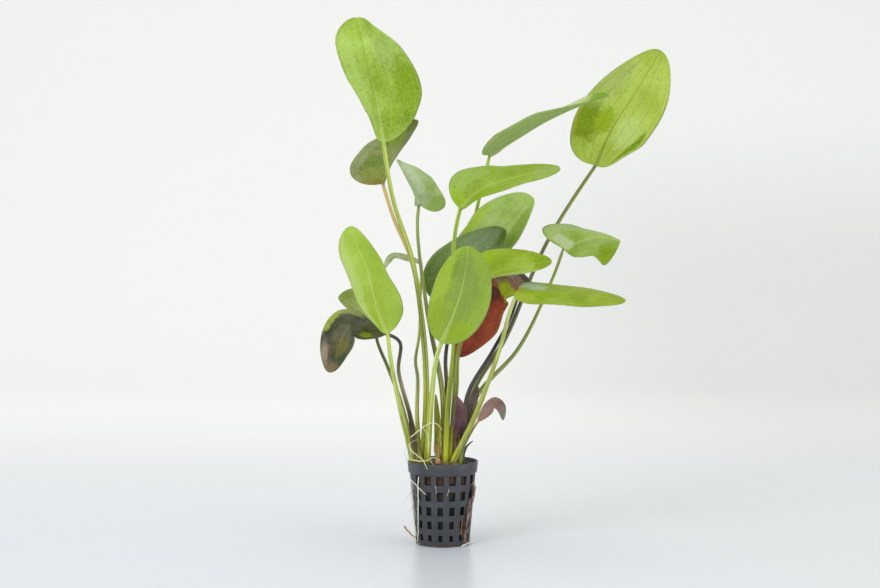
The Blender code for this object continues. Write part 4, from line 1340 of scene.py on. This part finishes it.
# %% The plastic
def pot_plastic():
    """Charcoal moulded plastic, matt with a soft sheen, a little dusty, with painted shade towards its foot.
    """
    material, graph, shader, surface = new_skin("pot_plastic")
    height = graph.add("ShaderNodeSeparateXYZ", {0: surface}).outputs[2]
    cloud = graph.noise(surface, 70, 5.0)
    colour = graph.mix(graph.step(cloud, 0.35, 0.7), tone(58, 60, 63), tone(74, 77, 83))
    # darker towards the foot: painted shade near the table
    low = graph.fall(height, 0.01, 0.05)
    colour = graph.tint(colour, low, 0.6, tone(48, 51, 54))
    dust = graph.step(graph.noise(surface, 900, 2.0, stretch=(1, 1, 0.25)), 0.62, 0.75)
    colour = graph.tint(colour, dust, 0.3, tone(112, 112, 108))
    graph.feed(shader.inputs["Base Color"], colour)
    rough = graph.calc("MULTIPLY_ADD", graph.calc("SUBTRACT", cloud, 0.5), 0.3, 0.46)
    graph.feed(shader.inputs["Roughness"], rough)
    roughen(graph, shader, surface, 900.0, 0.25, 0.2)
    return material


plastic = pot_plastic()
print("nodes in the plastic:", len(plastic.node_tree.nodes))


# %% A tree that cuts the windows
def finish_tree(graph, result, shapes, paint):
    """Make instances real, paint them and hand them out of the tree."""
    real = graph.add("GeometryNodeRealizeInstances", {0: shapes}).outputs[0]
    painted = graph.add("GeometryNodeSetMaterial", {0: real, "Material": paint}).outputs[0]
    graph.feed(result.inputs[0], painted)
    return graph.tree


def build_window_tree():
    """Rows of cutting blocks round the wall, each row a little taller and wider than the last."""
    graph, given, result = new_group(
        "pot windows", "GeometryNodeTree",
        [
            ("Geometry", GEOMETRY, None),
            ("Rows", WHOLE, 5), ("Windows Per Row", WHOLE, 16),
            ("First Turn", FLOAT, 0.0), ("Lowest Middle", FLOAT, 0.0062), ("Row Spacing", FLOAT, 0.009),
            ("Spacing Growth", FLOAT, 0.0003), ("Lowest Height", FLOAT, 0.0044),
            ("Height Growth", FLOAT, 0.0011), ("Height Slowing", FLOAT, 0.00015),
            ("Lowest Width", FLOAT, 0.0028), ("Width Growth", FLOAT, 0.00058),
            ("Foot Radius", FLOAT, 0.018), ("Taper", FLOAT, 0.09), ("Depth", FLOAT, 0.005),
            ("Plastic", PAINT, None),
        ],
        [("Geometry", GEOMETRY)],
    )
    per_row = given["Windows Per Row"]
    total = graph.times(given["Rows"], per_row)
    index = graph.add("GeometryNodeInputIndex").outputs[0]
    row = graph.calc("FLOOR", graph.calc("DIVIDE", graph.calc("ADD", index, 0.5), per_row))
    place_in_row = graph.calc("SUBTRACT", index, graph.times(row, per_row))
    share = graph.calc("DIVIDE", place_in_row, per_row)
    turn = graph.calc("MULTIPLY_ADD", share, 2 * math.pi, given["First Turn"])
    square = graph.times(row, row)

    def grown(start, growth, bend, sign):
        """start + growth * row, and sign * bend * row squared."""
        line = graph.calc("MULTIPLY_ADD", growth, row, start)
        return graph.calc("MULTIPLY_ADD", graph.times(bend, sign), square, line)

    middle = grown(given["Lowest Middle"], given["Row Spacing"], given["Spacing Growth"], 1)
    tall = grown(given["Lowest Height"], given["Height Growth"], given["Height Slowing"], -1)
    wide = graph.calc("MULTIPLY_ADD", given["Width Growth"], row, given["Lowest Width"])
    radius = graph.calc("MULTIPLY_ADD", middle, given["Taper"], given["Foot Radius"])
    x = graph.times(radius, graph.calc("COSINE", turn))
    y = graph.times(radius, graph.calc("SINE", turn))
    spots = graph.add(
        "GeometryNodePoints", {"Count": total, "Position": graph.vector(x, y, middle)}
    ).outputs[0]
    block = graph.add("GeometryNodeMeshCube", {"Size": (1, 1, 1)}).outputs["Mesh"]
    blocks = graph.add(
        "GeometryNodeInstanceOnPoints",
        {
            "Points": spots, "Instance": block, "Rotation": graph.vector(0, 0, turn),
            "Scale": graph.vector(given["Depth"], wide, tall),
        },
    ).outputs[0]
    blocks = graph.add("GeometryNodeRealizeInstances", {0: blocks}).outputs[0]
    cut = graph.add("GeometryNodeMeshBoolean", operation="DIFFERENCE", solver="EXACT")
    graph.feed(cut.inputs["Mesh 1"], given["Geometry"])
    graph.tree.links.new(blocks, cut.inputs["Mesh 2"])
    return finish_tree(graph, result, cut.outputs[0], given["Plastic"])


window_tree = build_window_tree()
print("nodes in the window tree:", len(window_tree.nodes))


# %% Run a tree on a mesh and keep the result
def grow(name, mesh, tree, **values):
    """The plain mesh that a Geometry Nodes tree makes from another mesh."""
    carrier = bpy.data.objects.new(name + "_carrier", mesh)
    bpy.context.scene.collection.objects.link(carrier)
    modifier = carrier.modifiers.new(tree.name, "NODES")
    modifier.node_group = tree
    sockets = {s.name: s.identifier for s in tree.interface.items_tree if s.in_out == "INPUT"}
    for title, value in values.items():
        modifier[sockets[title.replace("_", " ").title()]] = value
    graph = bpy.context.evaluated_depsgraph_get()
    result = bpy.data.meshes.new_from_object(carrier.evaluated_get(graph))
    carrier.modifiers.remove(modifier)
    bpy.data.objects.remove(carrier)
    result.name = name
    return result


taper = (BODY_TOP_RADIUS - FOOT_RADIUS) / STEP_HEIGHT
pot_mesh = grow(
    "pot_cut", pot_wall, window_tree,
    first_turn=math.radians(FIRST_WINDOW_DEG), foot_radius=(FOOT_RADIUS - WALL / 2) * MM,
    taper=taper, depth=4 * WALL * MM, plastic=plastic,
)
print("pot faces after cutting:", len(pot_mesh.polygons))

# %% Finish the pot
SHARP_DEG = 35
pot_mesh.shade_smooth()
pot_mesh.set_sharp_from_angle(angle=math.radians(SHARP_DEG))
add_piece("net_pot", pot_mesh, plastic, ["pot"])
print("pot corners:", len(pot_mesh.vertices))

# %% [markdown]
# ## The growing medium
#
# The pot is stuffed with damp fibre, brown and reddish, in which roots hold on. Its mass is
# a rough plug, displaced with noise. What makes it read as fibre is hundreds of short bent
# strands on its surface: a tree scatters points over the plug, and puts on each a strand of
# a few faces, turned at random with a fixed seed.

# %% The plug
MEDIUM_TOP = 56.8
GAP = 0.3


def rough_plug():
    """The turned plug with a lumpy surface that stays inside the pot."""
    room = WALL + GAP
    top = BODY_TOP_RADIUS + (RIM_RADIUS - BODY_TOP_RADIUS) * (MEDIUM_TOP - STEP_HEIGHT) / COLLAR_HEIGHT
    heights = np.linspace(FLOOR + GAP, MEDIUM_TOP, 56)
    wall = np.interp(heights, (0, STEP_HEIGHT, MEDIUM_TOP), (FOOT_RADIUS, BODY_TOP_RADIUS - 0.1, top))
    profile = [(r, heights[0]) for r in np.linspace(1.0, wall[0] - room, 8, endpoint=False)]
    profile += [(w - room, h) for w, h in zip(wall, heights)]
    profile += [(r, MEDIUM_TOP) for r in np.linspace(top - room, 0.6, 24)[1:]]
    points, faces = turned(profile, 140)
    chance = np.random.default_rng(5)
    pitches = (0.5, 0.9, 1.5, 2.4, 3.6)
    waves = [(chance.normal(size=3) * pitch, 2 * math.pi * chance.random()) for pitch in pitches]
    rough = sum(np.sin(points @ turn + start) for turn, start in waves) / len(waves)
    flat = np.hypot(points[:, 0], points[:, 1])
    on_top = points[:, 2] > MEDIUM_TOP - 0.5
    pull = 1 - np.where(flat > 5, (0.45 + 0.55 * rough) / np.maximum(flat, 1), 0)
    points[:, :2] *= np.where(on_top, 1, pull)[:, None]
    points[:, 2] += np.where(on_top & (flat < top - room - 0.5), 0.7 * rough - 0.2, 0)
    return make_mesh("plug", points, faces)


plug = rough_plug()
print("plug faces:", len(plug.polygons))


# %% Its colour
def medium_material():
    """Damp brown and reddish fibre with paler strands, and painted shade low in the pot and in its gaps."""
    material, graph, shader, surface = new_skin("growing_medium")
    height = graph.add("ShaderNodeSeparateXYZ", {0: surface}).outputs[2]
    high = graph.step(height, 0.022, 0.046)
    top = graph.step(height, 0.0535, 0.0565)
    cloud = graph.noise(surface, 190, 4.0)
    strand = graph.noise(surface, 700, 3.0, stretch=(1, 1, 0.35))
    warm = graph.mix(graph.step(strand, 0.45, 0.75), tone(96, 46, 36), tone(150, 98, 74))
    reddish = graph.times(graph.step(cloud, 0.5, 0.68), high)
    pale = graph.times(high, graph.step(cloud, 0.36, 0.5))
    # the near-black tone is painted shade, low in the pot and in the gaps between the fibre
    shade = graph.mix(pale, tone(24, 22, 22), tone(62, 56, 42))
    colour = graph.mix(reddish, shade, warm)
    pale = graph.times(graph.step(strand, 0.66, 0.8), graph.calc("MULTIPLY_ADD", high, 0.6, 0.15))
    colour = graph.mix(pale, colour, tone(166, 136, 108))
    loose = graph.mix(graph.step(cloud, 0.4, 0.66), tone(76, 62, 50), tone(150, 128, 108))
    colour = graph.tint(colour, top, 0.85, loose)
    graph.feed(shader.inputs["Base Color"], colour)
    shader.inputs["Roughness"].default_value = 0.85
    roughen(graph, shader, surface, 500.0, 0.8, 0.8)
    return material


fibre = medium_material()
add_piece("fibre_plug", plug.copy(), fibre, ["growing_medium"])
print("nodes in the fibre:", len(fibre.node_tree.nodes))


# %% One strand
def strand_mesh(name, length, radius, bend, sections=5, sides=4):
    """A short bent strand that lies along X, in millimetres."""
    share = np.linspace(0, 1, sections)
    turns = np.linspace(0, 2 * math.pi, sides, endpoint=False)
    rings = []
    for s in share:
        thin = radius * (1 - 0.7 * s)
        centre = ((s - 0.5) * length, bend * math.sin(3.6 * s), bend * 0.3 * math.sin(6.0 * s))
        rings.append([np.add(centre, (0, thin * math.cos(t), thin * math.sin(t))) for t in turns])
    return make_mesh(name, *loft(np.array(rings)))


# %% A tree that scatters strands
def build_strand_tree():
    """Strands lying over a surface, turned and scaled at random."""
    graph, given, result = new_group(
        "scattered strands", "GeometryNodeTree",
        [
            ("Geometry", GEOMETRY, None), ("Strand", "NodeSocketObject", None),
            ("Density", FLOAT, 90000.0), ("Seed", WHOLE, 3),
            ("Smallest", FLOAT, 0.6), ("Largest", FLOAT, 1.4), ("Tilt", FLOAT, 0.25),
            ("Fibre", PAINT, None),
        ],
        [("Geometry", GEOMETRY)],
    )
    scatter = graph.add(
        "GeometryNodeDistributePointsOnFaces",
        {"Mesh": given["Geometry"], "Density": given["Density"], "Seed": given["Seed"]},
    )
    tilt = given["Tilt"]
    lean = graph.add("FunctionNodeRandomValue", {"Seed": 11}, data_type="FLOAT_VECTOR")
    lowest = graph.times(tilt, -1)
    graph.feed(lean.inputs[0], graph.vector(lowest, lowest, 0))
    graph.feed(lean.inputs[1], graph.vector(tilt, tilt, 2 * math.pi))
    turned_to = graph.add("FunctionNodeRotateRotation", rotation_space="LOCAL")
    graph.feed(turned_to.inputs[0], scatter.outputs["Rotation"])
    graph.feed(turned_to.inputs[1], lean.outputs[0])
    size = graph.add("FunctionNodeRandomValue", {"Seed": 12}, data_type="FLOAT")
    graph.feed(size.inputs[2], given["Smallest"])
    graph.feed(size.inputs[3], given["Largest"])
    strand = graph.add("GeometryNodeObjectInfo", {"Object": given["Strand"]}).outputs["Geometry"]
    placed = graph.add(
        "GeometryNodeInstanceOnPoints",
        {
            "Points": scatter.outputs["Points"], "Instance": strand,
            "Rotation": turned_to.outputs[0], "Scale": size.outputs[1],
        },
    ).outputs[0]
    return finish_tree(graph, result, placed, given["Fibre"])


strand_tree = build_strand_tree()


def scatter_strands(name, mesh, strand, material, **values):
    """Strands of one shape scattered over a mesh, as a plain mesh."""
    pattern = bpy.data.objects.new(name + "_pattern", strand)
    bpy.context.scene.collection.objects.link(pattern)
    result = grow(name, mesh, strand_tree, strand=pattern, fibre=material, **values)
    bpy.data.objects.remove(pattern)
    return result


short_strand = strand_mesh("short_strand", 5.0, 0.16, 0.9)
fibres = scatter_strands("fibres", plug, short_strand, fibre, density=110000.0, seed=3)
add_piece("loose_fibres", fibres, fibre)
print("fibre faces:", len(fibres.polygons))

# %% [markdown]
# ## Crowns
#
# The leaves of each tuft spring from a short thick stem just above the fibre. Only its
# shoulder shows between the stalks, pale, ringed with scars and browned at its edge. A
# squashed ball with a lumpy surface is enough, because the feet of the stalks sink into it.

# %% The two crowns
CROWN_RISE = 2.6
CROWNS = {
    "crown_left": ((-15.0, -0.5), 7.9),
    "crown_right": ((5.2, -0.8), 10.6),
}


def crown_mesh(name, centre, radius, seed):
    """A low lumpy dome that stands in the fibre."""
    shell = bmesh.new()
    bmesh.ops.create_icosphere(shell, subdivisions=4, radius=1)
    points = np.array([vert.co[:] for vert in shell.verts])
    faces = [[vert.index for vert in face.verts] for face in shell.faces]
    shell.free()
    chance = np.random.default_rng(seed)
    lumps = sum(np.sin(points @ (chance.normal(size=3) * pitch) + pitch) for pitch in (3, 5, 9)) / 3
    points = points * (1 + 0.07 * lumps)[:, None]
    points = points * (radius, radius, CROWN_RISE) + (*centre, MEDIUM_TOP + 0.4)
    return make_mesh(name, points, faces)


def crown_material():
    """Pale green-brown stem, pinkish and browned in places."""
    material, graph, shader, surface = new_skin("crown")
    cloud = graph.noise(surface, 240, 4.0)
    colour = graph.mix(graph.step(cloud, 0.35, 0.6), tone(84, 62, 40), tone(128, 112, 56))
    colour = graph.mix(graph.step(cloud, 0.56, 0.75), colour, tone(176, 130, 92))
    graph.feed(shader.inputs["Base Color"], colour)
    shader.inputs["Roughness"].default_value = 0.6
    roughen(graph, shader, surface, 600.0, 0.6, 0.5)
    return material


crown_skin = crown_material()
for seed, (name, (centre, radius)) in enumerate(CROWNS.items()):
    add_piece(name + "_stem", crown_mesh(name, centre, radius, seed), crown_skin, [name])
    print(name, "radius in millimetres:", radius)

# %% [markdown]
# ## Roots
#
# White roots leave the crowns, hang over the rim and creep down the wall. Each is a thin
# tube that tapers, wavers a little and ends in a point. A plain bevelled curve would keep
# one thickness and look like wire, so these are lofted along their routes.

# %% The roots that the solid model has
WALL_ROOTS = {
    "wall_root_long": (
        0.5, "white_root",
        (
            (-16.9, 49.8, 1), (-17.4, 43, 1), (-17.2, 34, 1), (-17.3, 24, 1),
            (-17.3, 15, 1), (-17.4, 7, 1), (-17.9, 1.2, 1),
        ),
    ),
    "wall_root_crossing": (
        0.4, "white_root",
        (
            (-23.3, 46.6, 1.2), (-20.6, 45.2, 1.8), (-17.4, 42.6, 2.4),
            (-14.2, 39.6, 1.8), (-11.3, 37.4, 0.9),
        ),
    ),
}
FREE_ROOTS = {
    "root_stub_brown": (
        0.6, "dry_brown",
        ((-27.4, -8, 13.4), (-24.5, -8, 9.8), (-21.7, -8, 7), (-18.9, -8, 5)),
    ),
    "root_on_table": (
        0.45, "white_root",
        ((12.8, -18, 0.6), (16.3, -14, 1.7), (19.9, -8, 2), (23.6, 0, 2)),
    ),
    "root_thread_arched": (
        0.45, "pale_root",
        (
            (-22.6, -17.6, 77.2), (-19.4, -19.5, 80.3), (-14.5, -21, 84.3), (-11, -21.5, 86.9),
            (-6.8, -21.5, 88), (-3.3, -20, 86.4), (-0.6, -18, 82.6),
        ),
    ),
    "root_thread_low": (
        0.45, "pale_root",
        (
            (-23.7, -14.6, 73), (-22.3, -16.4, 68.3), (-18, -19.4, 65.2), (-13.8, -21.8, 62),
            (-11.8, -23.2, 58), (-10.8, -23.2, 55.2),
        ),
    ),
    "root_thread_rim": (
        0.5, "pale_root",
        (
            (-22.5, -10.5, 61.2), (-18.8, -15.6, 60.8), (-12.4, -18.6, 61), (-8.9, -18.6, 62.3),
            (-6.9, -16, 63), (-3.6, -14, 61.6), (-1.2, -12, 59.6),
        ),
    ),
}


def on_wall(across, height, lift):
    """A point beside the front of the pot's tapered wall."""
    radius = FOOT_RADIUS + taper * height + lift
    across = min(max(across, -radius), radius)
    return across, -math.sqrt(radius**2 - across**2), height


print("roots of the solid model:", len(WALL_ROOTS) + len(FREE_ROOTS))


# %% A living root
ROOT_THINS = 0.45       # share of its radius that a root loses by its tip
KNOBS = 0.12            # share by which a root swells and shrinks along its length
KNOB_TURNS = 1.9        # how fast it does so, in radians for each millimetre


def root_points(route, radius, seed, waver=0.25, sides=10, per_point=7):
    """Points and faces of a tapered, wavering tube along a route."""
    chance = np.random.default_rng(seed)
    count = per_point * (len(route) - 1)
    middle = smooth_route(route, count)
    share = np.linspace(0, 1, count)
    heading = unit(np.gradient(middle, axis=0))
    side = unit(np.cross(heading, (0.3, 0.2, 1.0)))
    over = np.cross(side, heading)
    length = np.linalg.norm(np.diff(middle, axis=0), axis=1).sum()
    for direction in (side, over):
        phase, pitch = chance.random() * 6.3, 5 + 3 * chance.random()
        middle = middle + direction * (waver * radius * np.sin(share * length / pitch * 6.3 + phase))[:, None]
    body = np.minimum(ease(share, -0.05, 0.06), 1 - ease(share, 0.93, 1.04))
    thick = radius * (1 - ROOT_THINS * share) * body
    thick *= 1 + KNOBS * np.sin(share * length * KNOB_TURNS + chance.random() * 6.3)
    turns = np.linspace(0, 2 * math.pi, sides, endpoint=False)
    ring = np.cos(turns)[:, None, None] * side + np.sin(turns)[:, None, None] * over
    rings = (middle + ring * thick[:, None]).transpose(1, 0, 2)
    return loft(rings)


def root_material(name, pale, mid, brown, roughness):
    """Waxy root skin that browns in places."""
    material, graph, shader, surface = new_skin(name)
    cloud = graph.noise(surface, 220, 3.0)
    colour = graph.mix(graph.step(cloud, 0.35, 0.55), tone(*pale), tone(*mid))
    colour = graph.mix(graph.step(cloud, 0.6, 0.78), colour, tone(*brown))
    graph.feed(shader.inputs["Base Color"], colour)
    shader.inputs["Roughness"].default_value = roughness
    shader.inputs["Subsurface Weight"].default_value = 0.1
    shader.inputs["Subsurface Scale"].default_value = 0.001
    roughen(graph, shader, surface, 900.0, 0.4, 0.3)
    return material


white_root = root_material("white_root", (238, 238, 226), (230, 230, 214), (196, 186, 156), 0.55)
brown_root = root_material("brown_root", (190, 130, 70), (168, 108, 56), (96, 66, 44), 0.7)
pale_root = root_material("pale_root", (224, 226, 192), (212, 214, 170), (176, 172, 120), 0.55)
tan_root = root_material("tan_root", (178, 154, 142), (146, 120, 110), (96, 72, 66), 0.75)
dark_root = root_material("dark_root", (96, 58, 56), (74, 44, 44), (50, 36, 36), 0.75)
SKINS = {"white_root": white_root, "dry_brown": brown_root, "pale_root": pale_root}

routes = dict(FREE_ROOTS)
for name, (radius, skin, seen) in WALL_ROOTS.items():
    routes[name] = (radius, skin, [on_wall(*spot) for spot in seen])
for seed, (name, (radius, skin, route)) in enumerate(routes.items()):
    mesh = make_mesh(name, *root_points(route, radius, seed))
    finish_slot = "dry_brown" if skin == "dry_brown" else "white_root"
    add_piece(name + "_skin", mesh, SKINS[skin], [name])
    print(name, "faces:", len(mesh.polygons))

# %% [markdown]
# ## Fine roots
#
# Thinner roots have found their way through the windows. A tan bundle bulges from the right
# side, a few twigs reach out on the left, and pale threads cling to the wall. They are too
# thin to matter to the solid model, but the pot looks bare without them.

# %% Threads round the pot
FINE_WALL_ROOTS = (
    (0.22, "white_root", ((-22.6, 42, 0.6), (-22.9, 36, 1.6), (-22.0, 30, 1.0), (-20.9, 25, 0.5))),
    (0.16, "white_root", ((-5.5, 44, 0.3), (-4.7, 41, 0.5), (-3.9, 38.5, 0.3))),
    (0.16, "white_root", ((4.4, 41.6, 0.3), (3.4, 38.8, 0.5), (2.7, 36.6, 0.3))),
    (0.26, "dry_brown", ((13.6, 19, 0.3), (13.2, 13, 0.7), (13.6, 6.5, 0.4))),
)
FINE_FREE_ROOTS = (
    (0.24, "white_root", ((-21.2, -6, 35.5), (-23.6, -7, 35.9), (-25.6, -8, 33.5), (-26.6, -9, 31.4))),
    (0.22, "white_root", ((-20.6, -5, 26.4), (-23, -6, 24.8), (-25.3, -7, 22.2))),
    (0.2, "white_root", ((-19.6, -6, 16.2), (-21.6, -7, 16.4), (-22.6, -8, 13.6))),
    (0.22, "white_root", ((-22.8, -5, 58.6), (-26.4, -7, 62), (-26.2, -9, 69), (-22.8, -12, 75.4))),
    (0.2, "white_root", ((-23.4, -8, 59.4), (-24.8, -10, 66), (-22.4, -14, 73), (-17.4, -17.6, 76))),
    (0.18, "white_root", ((-21.4, -13.4, 60.2), (-22.6, -13.8, 66), (-23.6, -13, 74), (-22.8, -13.5, 81))),
    (0.2, "white_root", ((-14, -20, 85), (-10.6, -20, 79), (-9.6, -19, 72), (-10.8, -18.5, 66))),
    (0.18, "white_root", ((-8.6, -18.6, 62), (-7.4, -20.6, 59.6), (-6.2, -20.6, 57.4), (-5.2, -19.4, 57.8))),
    (0.16, "white_root", ((8.8, -11.4, 59), (11.8, -14.4, 67), (13.4, -16.2, 75), (15.2, -18.8, 82))),
    (0.2, "dry_brown", ((17.5, -6, 3.4), (19.4, -7.6, 2.2), (20.6, -9, 0.6))),
    (0.2, "white_root", ((-15.6, -9.8, 2.0), (-18.2, -12, 0.8), (-20.6, -14.4, 0.5), (-22.4, -15.4, 0.4))),
)
SKINS.update(tan_root=tan_root, dark_root=dark_root)

# Bundles on the wall: how many roots, their radius, how far they stray, a skin and the route.
ROOT_BUNDLES = (
    (12, 0.4, 0.9, "tan_root", ((21.4, 44, 0.4), (22.3, 40, 1.6), (21.9, 35.5, 2.0), (20.6, 30.5, 0.8))),
    (7, 0.3, 0.9, "dark_root", ((21.2, 43, 0.3), (22.0, 38, 1.4), (20.8, 32, 1.2), (19.2, 26, 0.6))),
    (
        12, 0.26, 1.2, "tan_root",
        ((20.6, 33, 0.4), (19, 25, 0.7), (17.2, 17, 0.6), (15.6, 9, 0.4), (15, 2.5, 0.4)),
    ),
    (5, 0.26, 1.0, "dark_root", ((17.6, 24, 0.4), (16.0, 17, 0.5), (14.6, 10, 0.5), (14.4, 4, 0.4))),
    (9, 0.13, 1.3, "white_root", ((-21.6, 37, 0.4), (-20.6, 27, 0.6), (-19.8, 17, 0.5), (-18.8, 5, 0.5))),
    (6, 0.13, 1.6, "white_root", ((-22.8, 49, 0.4), (-22.0, 42, 0.8), (-21.0, 35, 0.6))),
)


def stray(bundle, seed):
    """The roots of a bundle, each along its route with every point moved a little."""
    count, radius, far, skin, seen = bundle
    chance = np.random.default_rng(seed)
    roots = []
    for _ in range(count):
        spots = np.array(seen) + chance.normal(size=(len(seen), 3)) * (far / 2, far, 0.2)
        spots[:, 2] = np.abs(spots[:, 2])
        roots.append((radius * (0.6 + 0.6 * chance.random()), skin, [on_wall(*spot) for spot in spots]))
    return roots


def join_roots(name, table, material):
    """Several fine roots as one piece."""
    all_points, all_faces = [], []
    for seed, (radius, route) in enumerate(table):
        points, faces = root_points(route, radius, seed + 40, waver=0.8, sides=7, per_point=9)
        start = sum(len(part) for part in all_points)
        all_points.append(points)
        all_faces += [tuple(start + corner for corner in face) for face in faces]
    mesh = make_mesh(name, np.concatenate(all_points), all_faces)
    add_piece(name, mesh, material)
    print(name, "roots:", len(table), "faces:", len(mesh.polygons))


fine = [(r, skin, [on_wall(*spot) for spot in seen]) for r, skin, seen in FINE_WALL_ROOTS]
fine += list(FINE_FREE_ROOTS)
for seed, bundle in enumerate(ROOT_BUNDLES):
    fine += stray(bundle, seed)
for name, skin, finish_slot in (
    ("fine_white_roots", "white_root", "white_root"),
    ("fine_tan_roots", "tan_root", "dry_brown"),
    ("fine_dark_roots", "dark_root", "dry_brown"),
    ("fine_brown_roots", "dry_brown", "dry_brown"),
):
    join_roots(name, [(r, route) for r, used, route in fine if used == skin], SKINS[skin])

# %% [markdown]
# ## A scrap under the pot
#
# A reddish shred of old leaf is caught under the front edge of the pot. It is a short flat
# ribbon with ragged edges.

# %% The scrap
SCRAP_HALF_THICKNESS = 0.2


def scrap_mesh():
    """A thin ragged ribbon that lies on the table along the front of the pot's foot."""
    chance = np.random.default_rng(9)
    turns = np.radians(np.linspace(-112, -62, 26))
    share = np.linspace(0, 1, 26)
    radius = FOOT_RADIUS - 0.6
    half = 0.9 * np.sin(math.pi * np.clip(share, 0.03, 0.97)) * (0.7 + 0.5 * chance.random(26))
    height = 0.45 + 0.15 * np.sin(share * 9)
    rings = []
    for turn, wide, z in zip(turns, half, height):
        out = np.array((math.cos(turn), math.sin(turn), 0))
        centre = out * (radius + 0.5) + (0, 0, z)
        up = np.array((0, 0, SCRAP_HALF_THICKNESS))
        rings.append([centre + out * wide, centre + up, centre - out * wide, centre - up])
    return make_mesh("leaf_scrap", *loft(np.array(rings)))


scrap_skin = root_material("leaf_scrap", (150, 70, 66), (122, 52, 50), (84, 40, 38), 0.6)
scrap = add_piece("leaf_scrap", scrap_mesh(), scrap_skin)
print("scrap faces:", len(scrap.data.polygons))

# %% [markdown]
# ## A pale studio
#
# The plant stands on a pale, faintly shiny table in front of a white wall. One sheet that
# curves from floor to wall gives both without a line between them. Large soft lamps from
# the front left and above keep the shadows faint, and an even sky fills them.

# %% The floor and wall
SHEET_HALF_WIDTH = 4.0
SHEET_FRONT = -3.0
BEND_START = 1.2
BEND_RADIUS = 0.8
SHEET_TOP = 4.0


def backdrop():
    """A wide sheet that runs along the floor and curves up into a wall."""
    bend = [
        (BEND_START + BEND_RADIUS * math.sin(t), BEND_RADIUS - BEND_RADIUS * math.cos(t))
        for t in np.linspace(0, math.pi / 2, 24)
    ]
    outline = [(SHEET_FRONT, 0.0)] + bend + [(BEND_START + BEND_RADIUS, SHEET_TOP)]
    points = [(x, y, z) for y, z in outline for x in (-SHEET_HALF_WIDTH, SHEET_HALF_WIDTH)]
    faces = [(2 * i, 2 * i + 1, 2 * i + 3, 2 * i + 2) for i in range(len(outline) - 1)]
    mesh = bpy.data.meshes.new("backdrop")
    mesh.from_pydata(points, [], faces)
    mesh.shade_smooth()
    return mesh


def sheet_material():
    """Pale grey-blue floor that turns into a warm white wall."""
    material, graph, shader, surface = new_skin("backdrop")
    aside, back, height = graph.add("ShaderNodeSeparateXYZ", {0: surface}).outputs
    colour = graph.mix(graph.step(back, -0.1, 1.0), tone(210, 214, 219), tone(248, 248, 244))
    shade = graph.times(graph.step(aside, -0.08, 0.42), graph.fall(height, 0.1, 0.45))
    colour = graph.tint(colour, shade, 0.56, tone(212, 216, 214))
    graph.feed(shader.inputs["Base Color"], colour)
    rough = graph.calc("MULTIPLY_ADD", graph.step(back, 0.1, 1.0), 0.5, 0.3)
    graph.feed(shader.inputs["Roughness"], rough)
    shader.inputs["Specular IOR Level"].default_value = 0.35
    return material


sheet = bpy.data.objects.new("backdrop", backdrop())
sheet.data.materials.append(sheet_material())
bpy.context.scene.collection.objects.link(sheet)
print("backdrop, metres wide:", 2 * SHEET_HALF_WIDTH)

# %% Light
def add_lamp(name, place, target, size, power):
    """A square soft lamp that faces a target; places are in metres."""
    data = bpy.data.lights.new(name, "AREA")
    data.size = size
    data.energy = power
    lamp = bpy.data.objects.new(name, data)
    lamp.location = place
    lamp.rotation_euler = (Vector(target) - Vector(place)).to_track_quat("-Z", "Y").to_euler()
    bpy.context.scene.collection.objects.link(lamp)


PLANT_MIDDLE = (0.0, 0.0, 0.2)
add_lamp("front_left", (-1.1, -1.3, 1.1), PLANT_MIDDLE, 1.0, 14)
add_lamp("overhead", (0.2, 0.1, 1.7), PLANT_MIDDLE, 1.2, 6)
add_lamp("right_fill", (1.3, -0.9, 0.6), PLANT_MIDDLE, 1.2, 5.5)
world = bpy.data.worlds.new("studio")
world.use_nodes = True
sky = world.node_tree.nodes["Background"]
sky.inputs["Color"].default_value = (0.97, 0.98, 1.0, 1)
sky.inputs["Strength"].default_value = 0.78
bpy.context.scene.world = world
print("lamps:", [lamp.name for lamp in bpy.data.lights])

# %% [markdown]
# ## The camera
#
# A long lens stands level with the middle of the plant, a little more than a metre away,
# and looks down by less than three degrees, as in the photograph.

# %% The camera
CAMERA_PLACE = (-1.95 * MM, -1300 * MM, 236 * MM)
CAMERA_DOWN_DEG = 2.6
LENS_MM = 75.4
lens = bpy.data.cameras.new("camera")
lens.lens = LENS_MM
lens.sensor_width = 36
lens.clip_start = 0.01
camera = bpy.data.objects.new("camera", lens)
camera.location = CAMERA_PLACE
camera.rotation_euler = (math.radians(90 - CAMERA_DOWN_DEG), 0, 0)
bpy.context.scene.collection.objects.link(camera)
bpy.context.scene.camera = camera
print("lens:", LENS_MM, "mm, looking down by", CAMERA_DOWN_DEG, "degrees")

# %% [markdown]
# ## Finish
#
# Colours are shown as they are, with no curve like a film's.

# %% Show colours as they are
bpy.context.scene.view_settings.view_transform = "Standard"
print("colours are shown with:", bpy.context.scene.view_settings.view_transform)
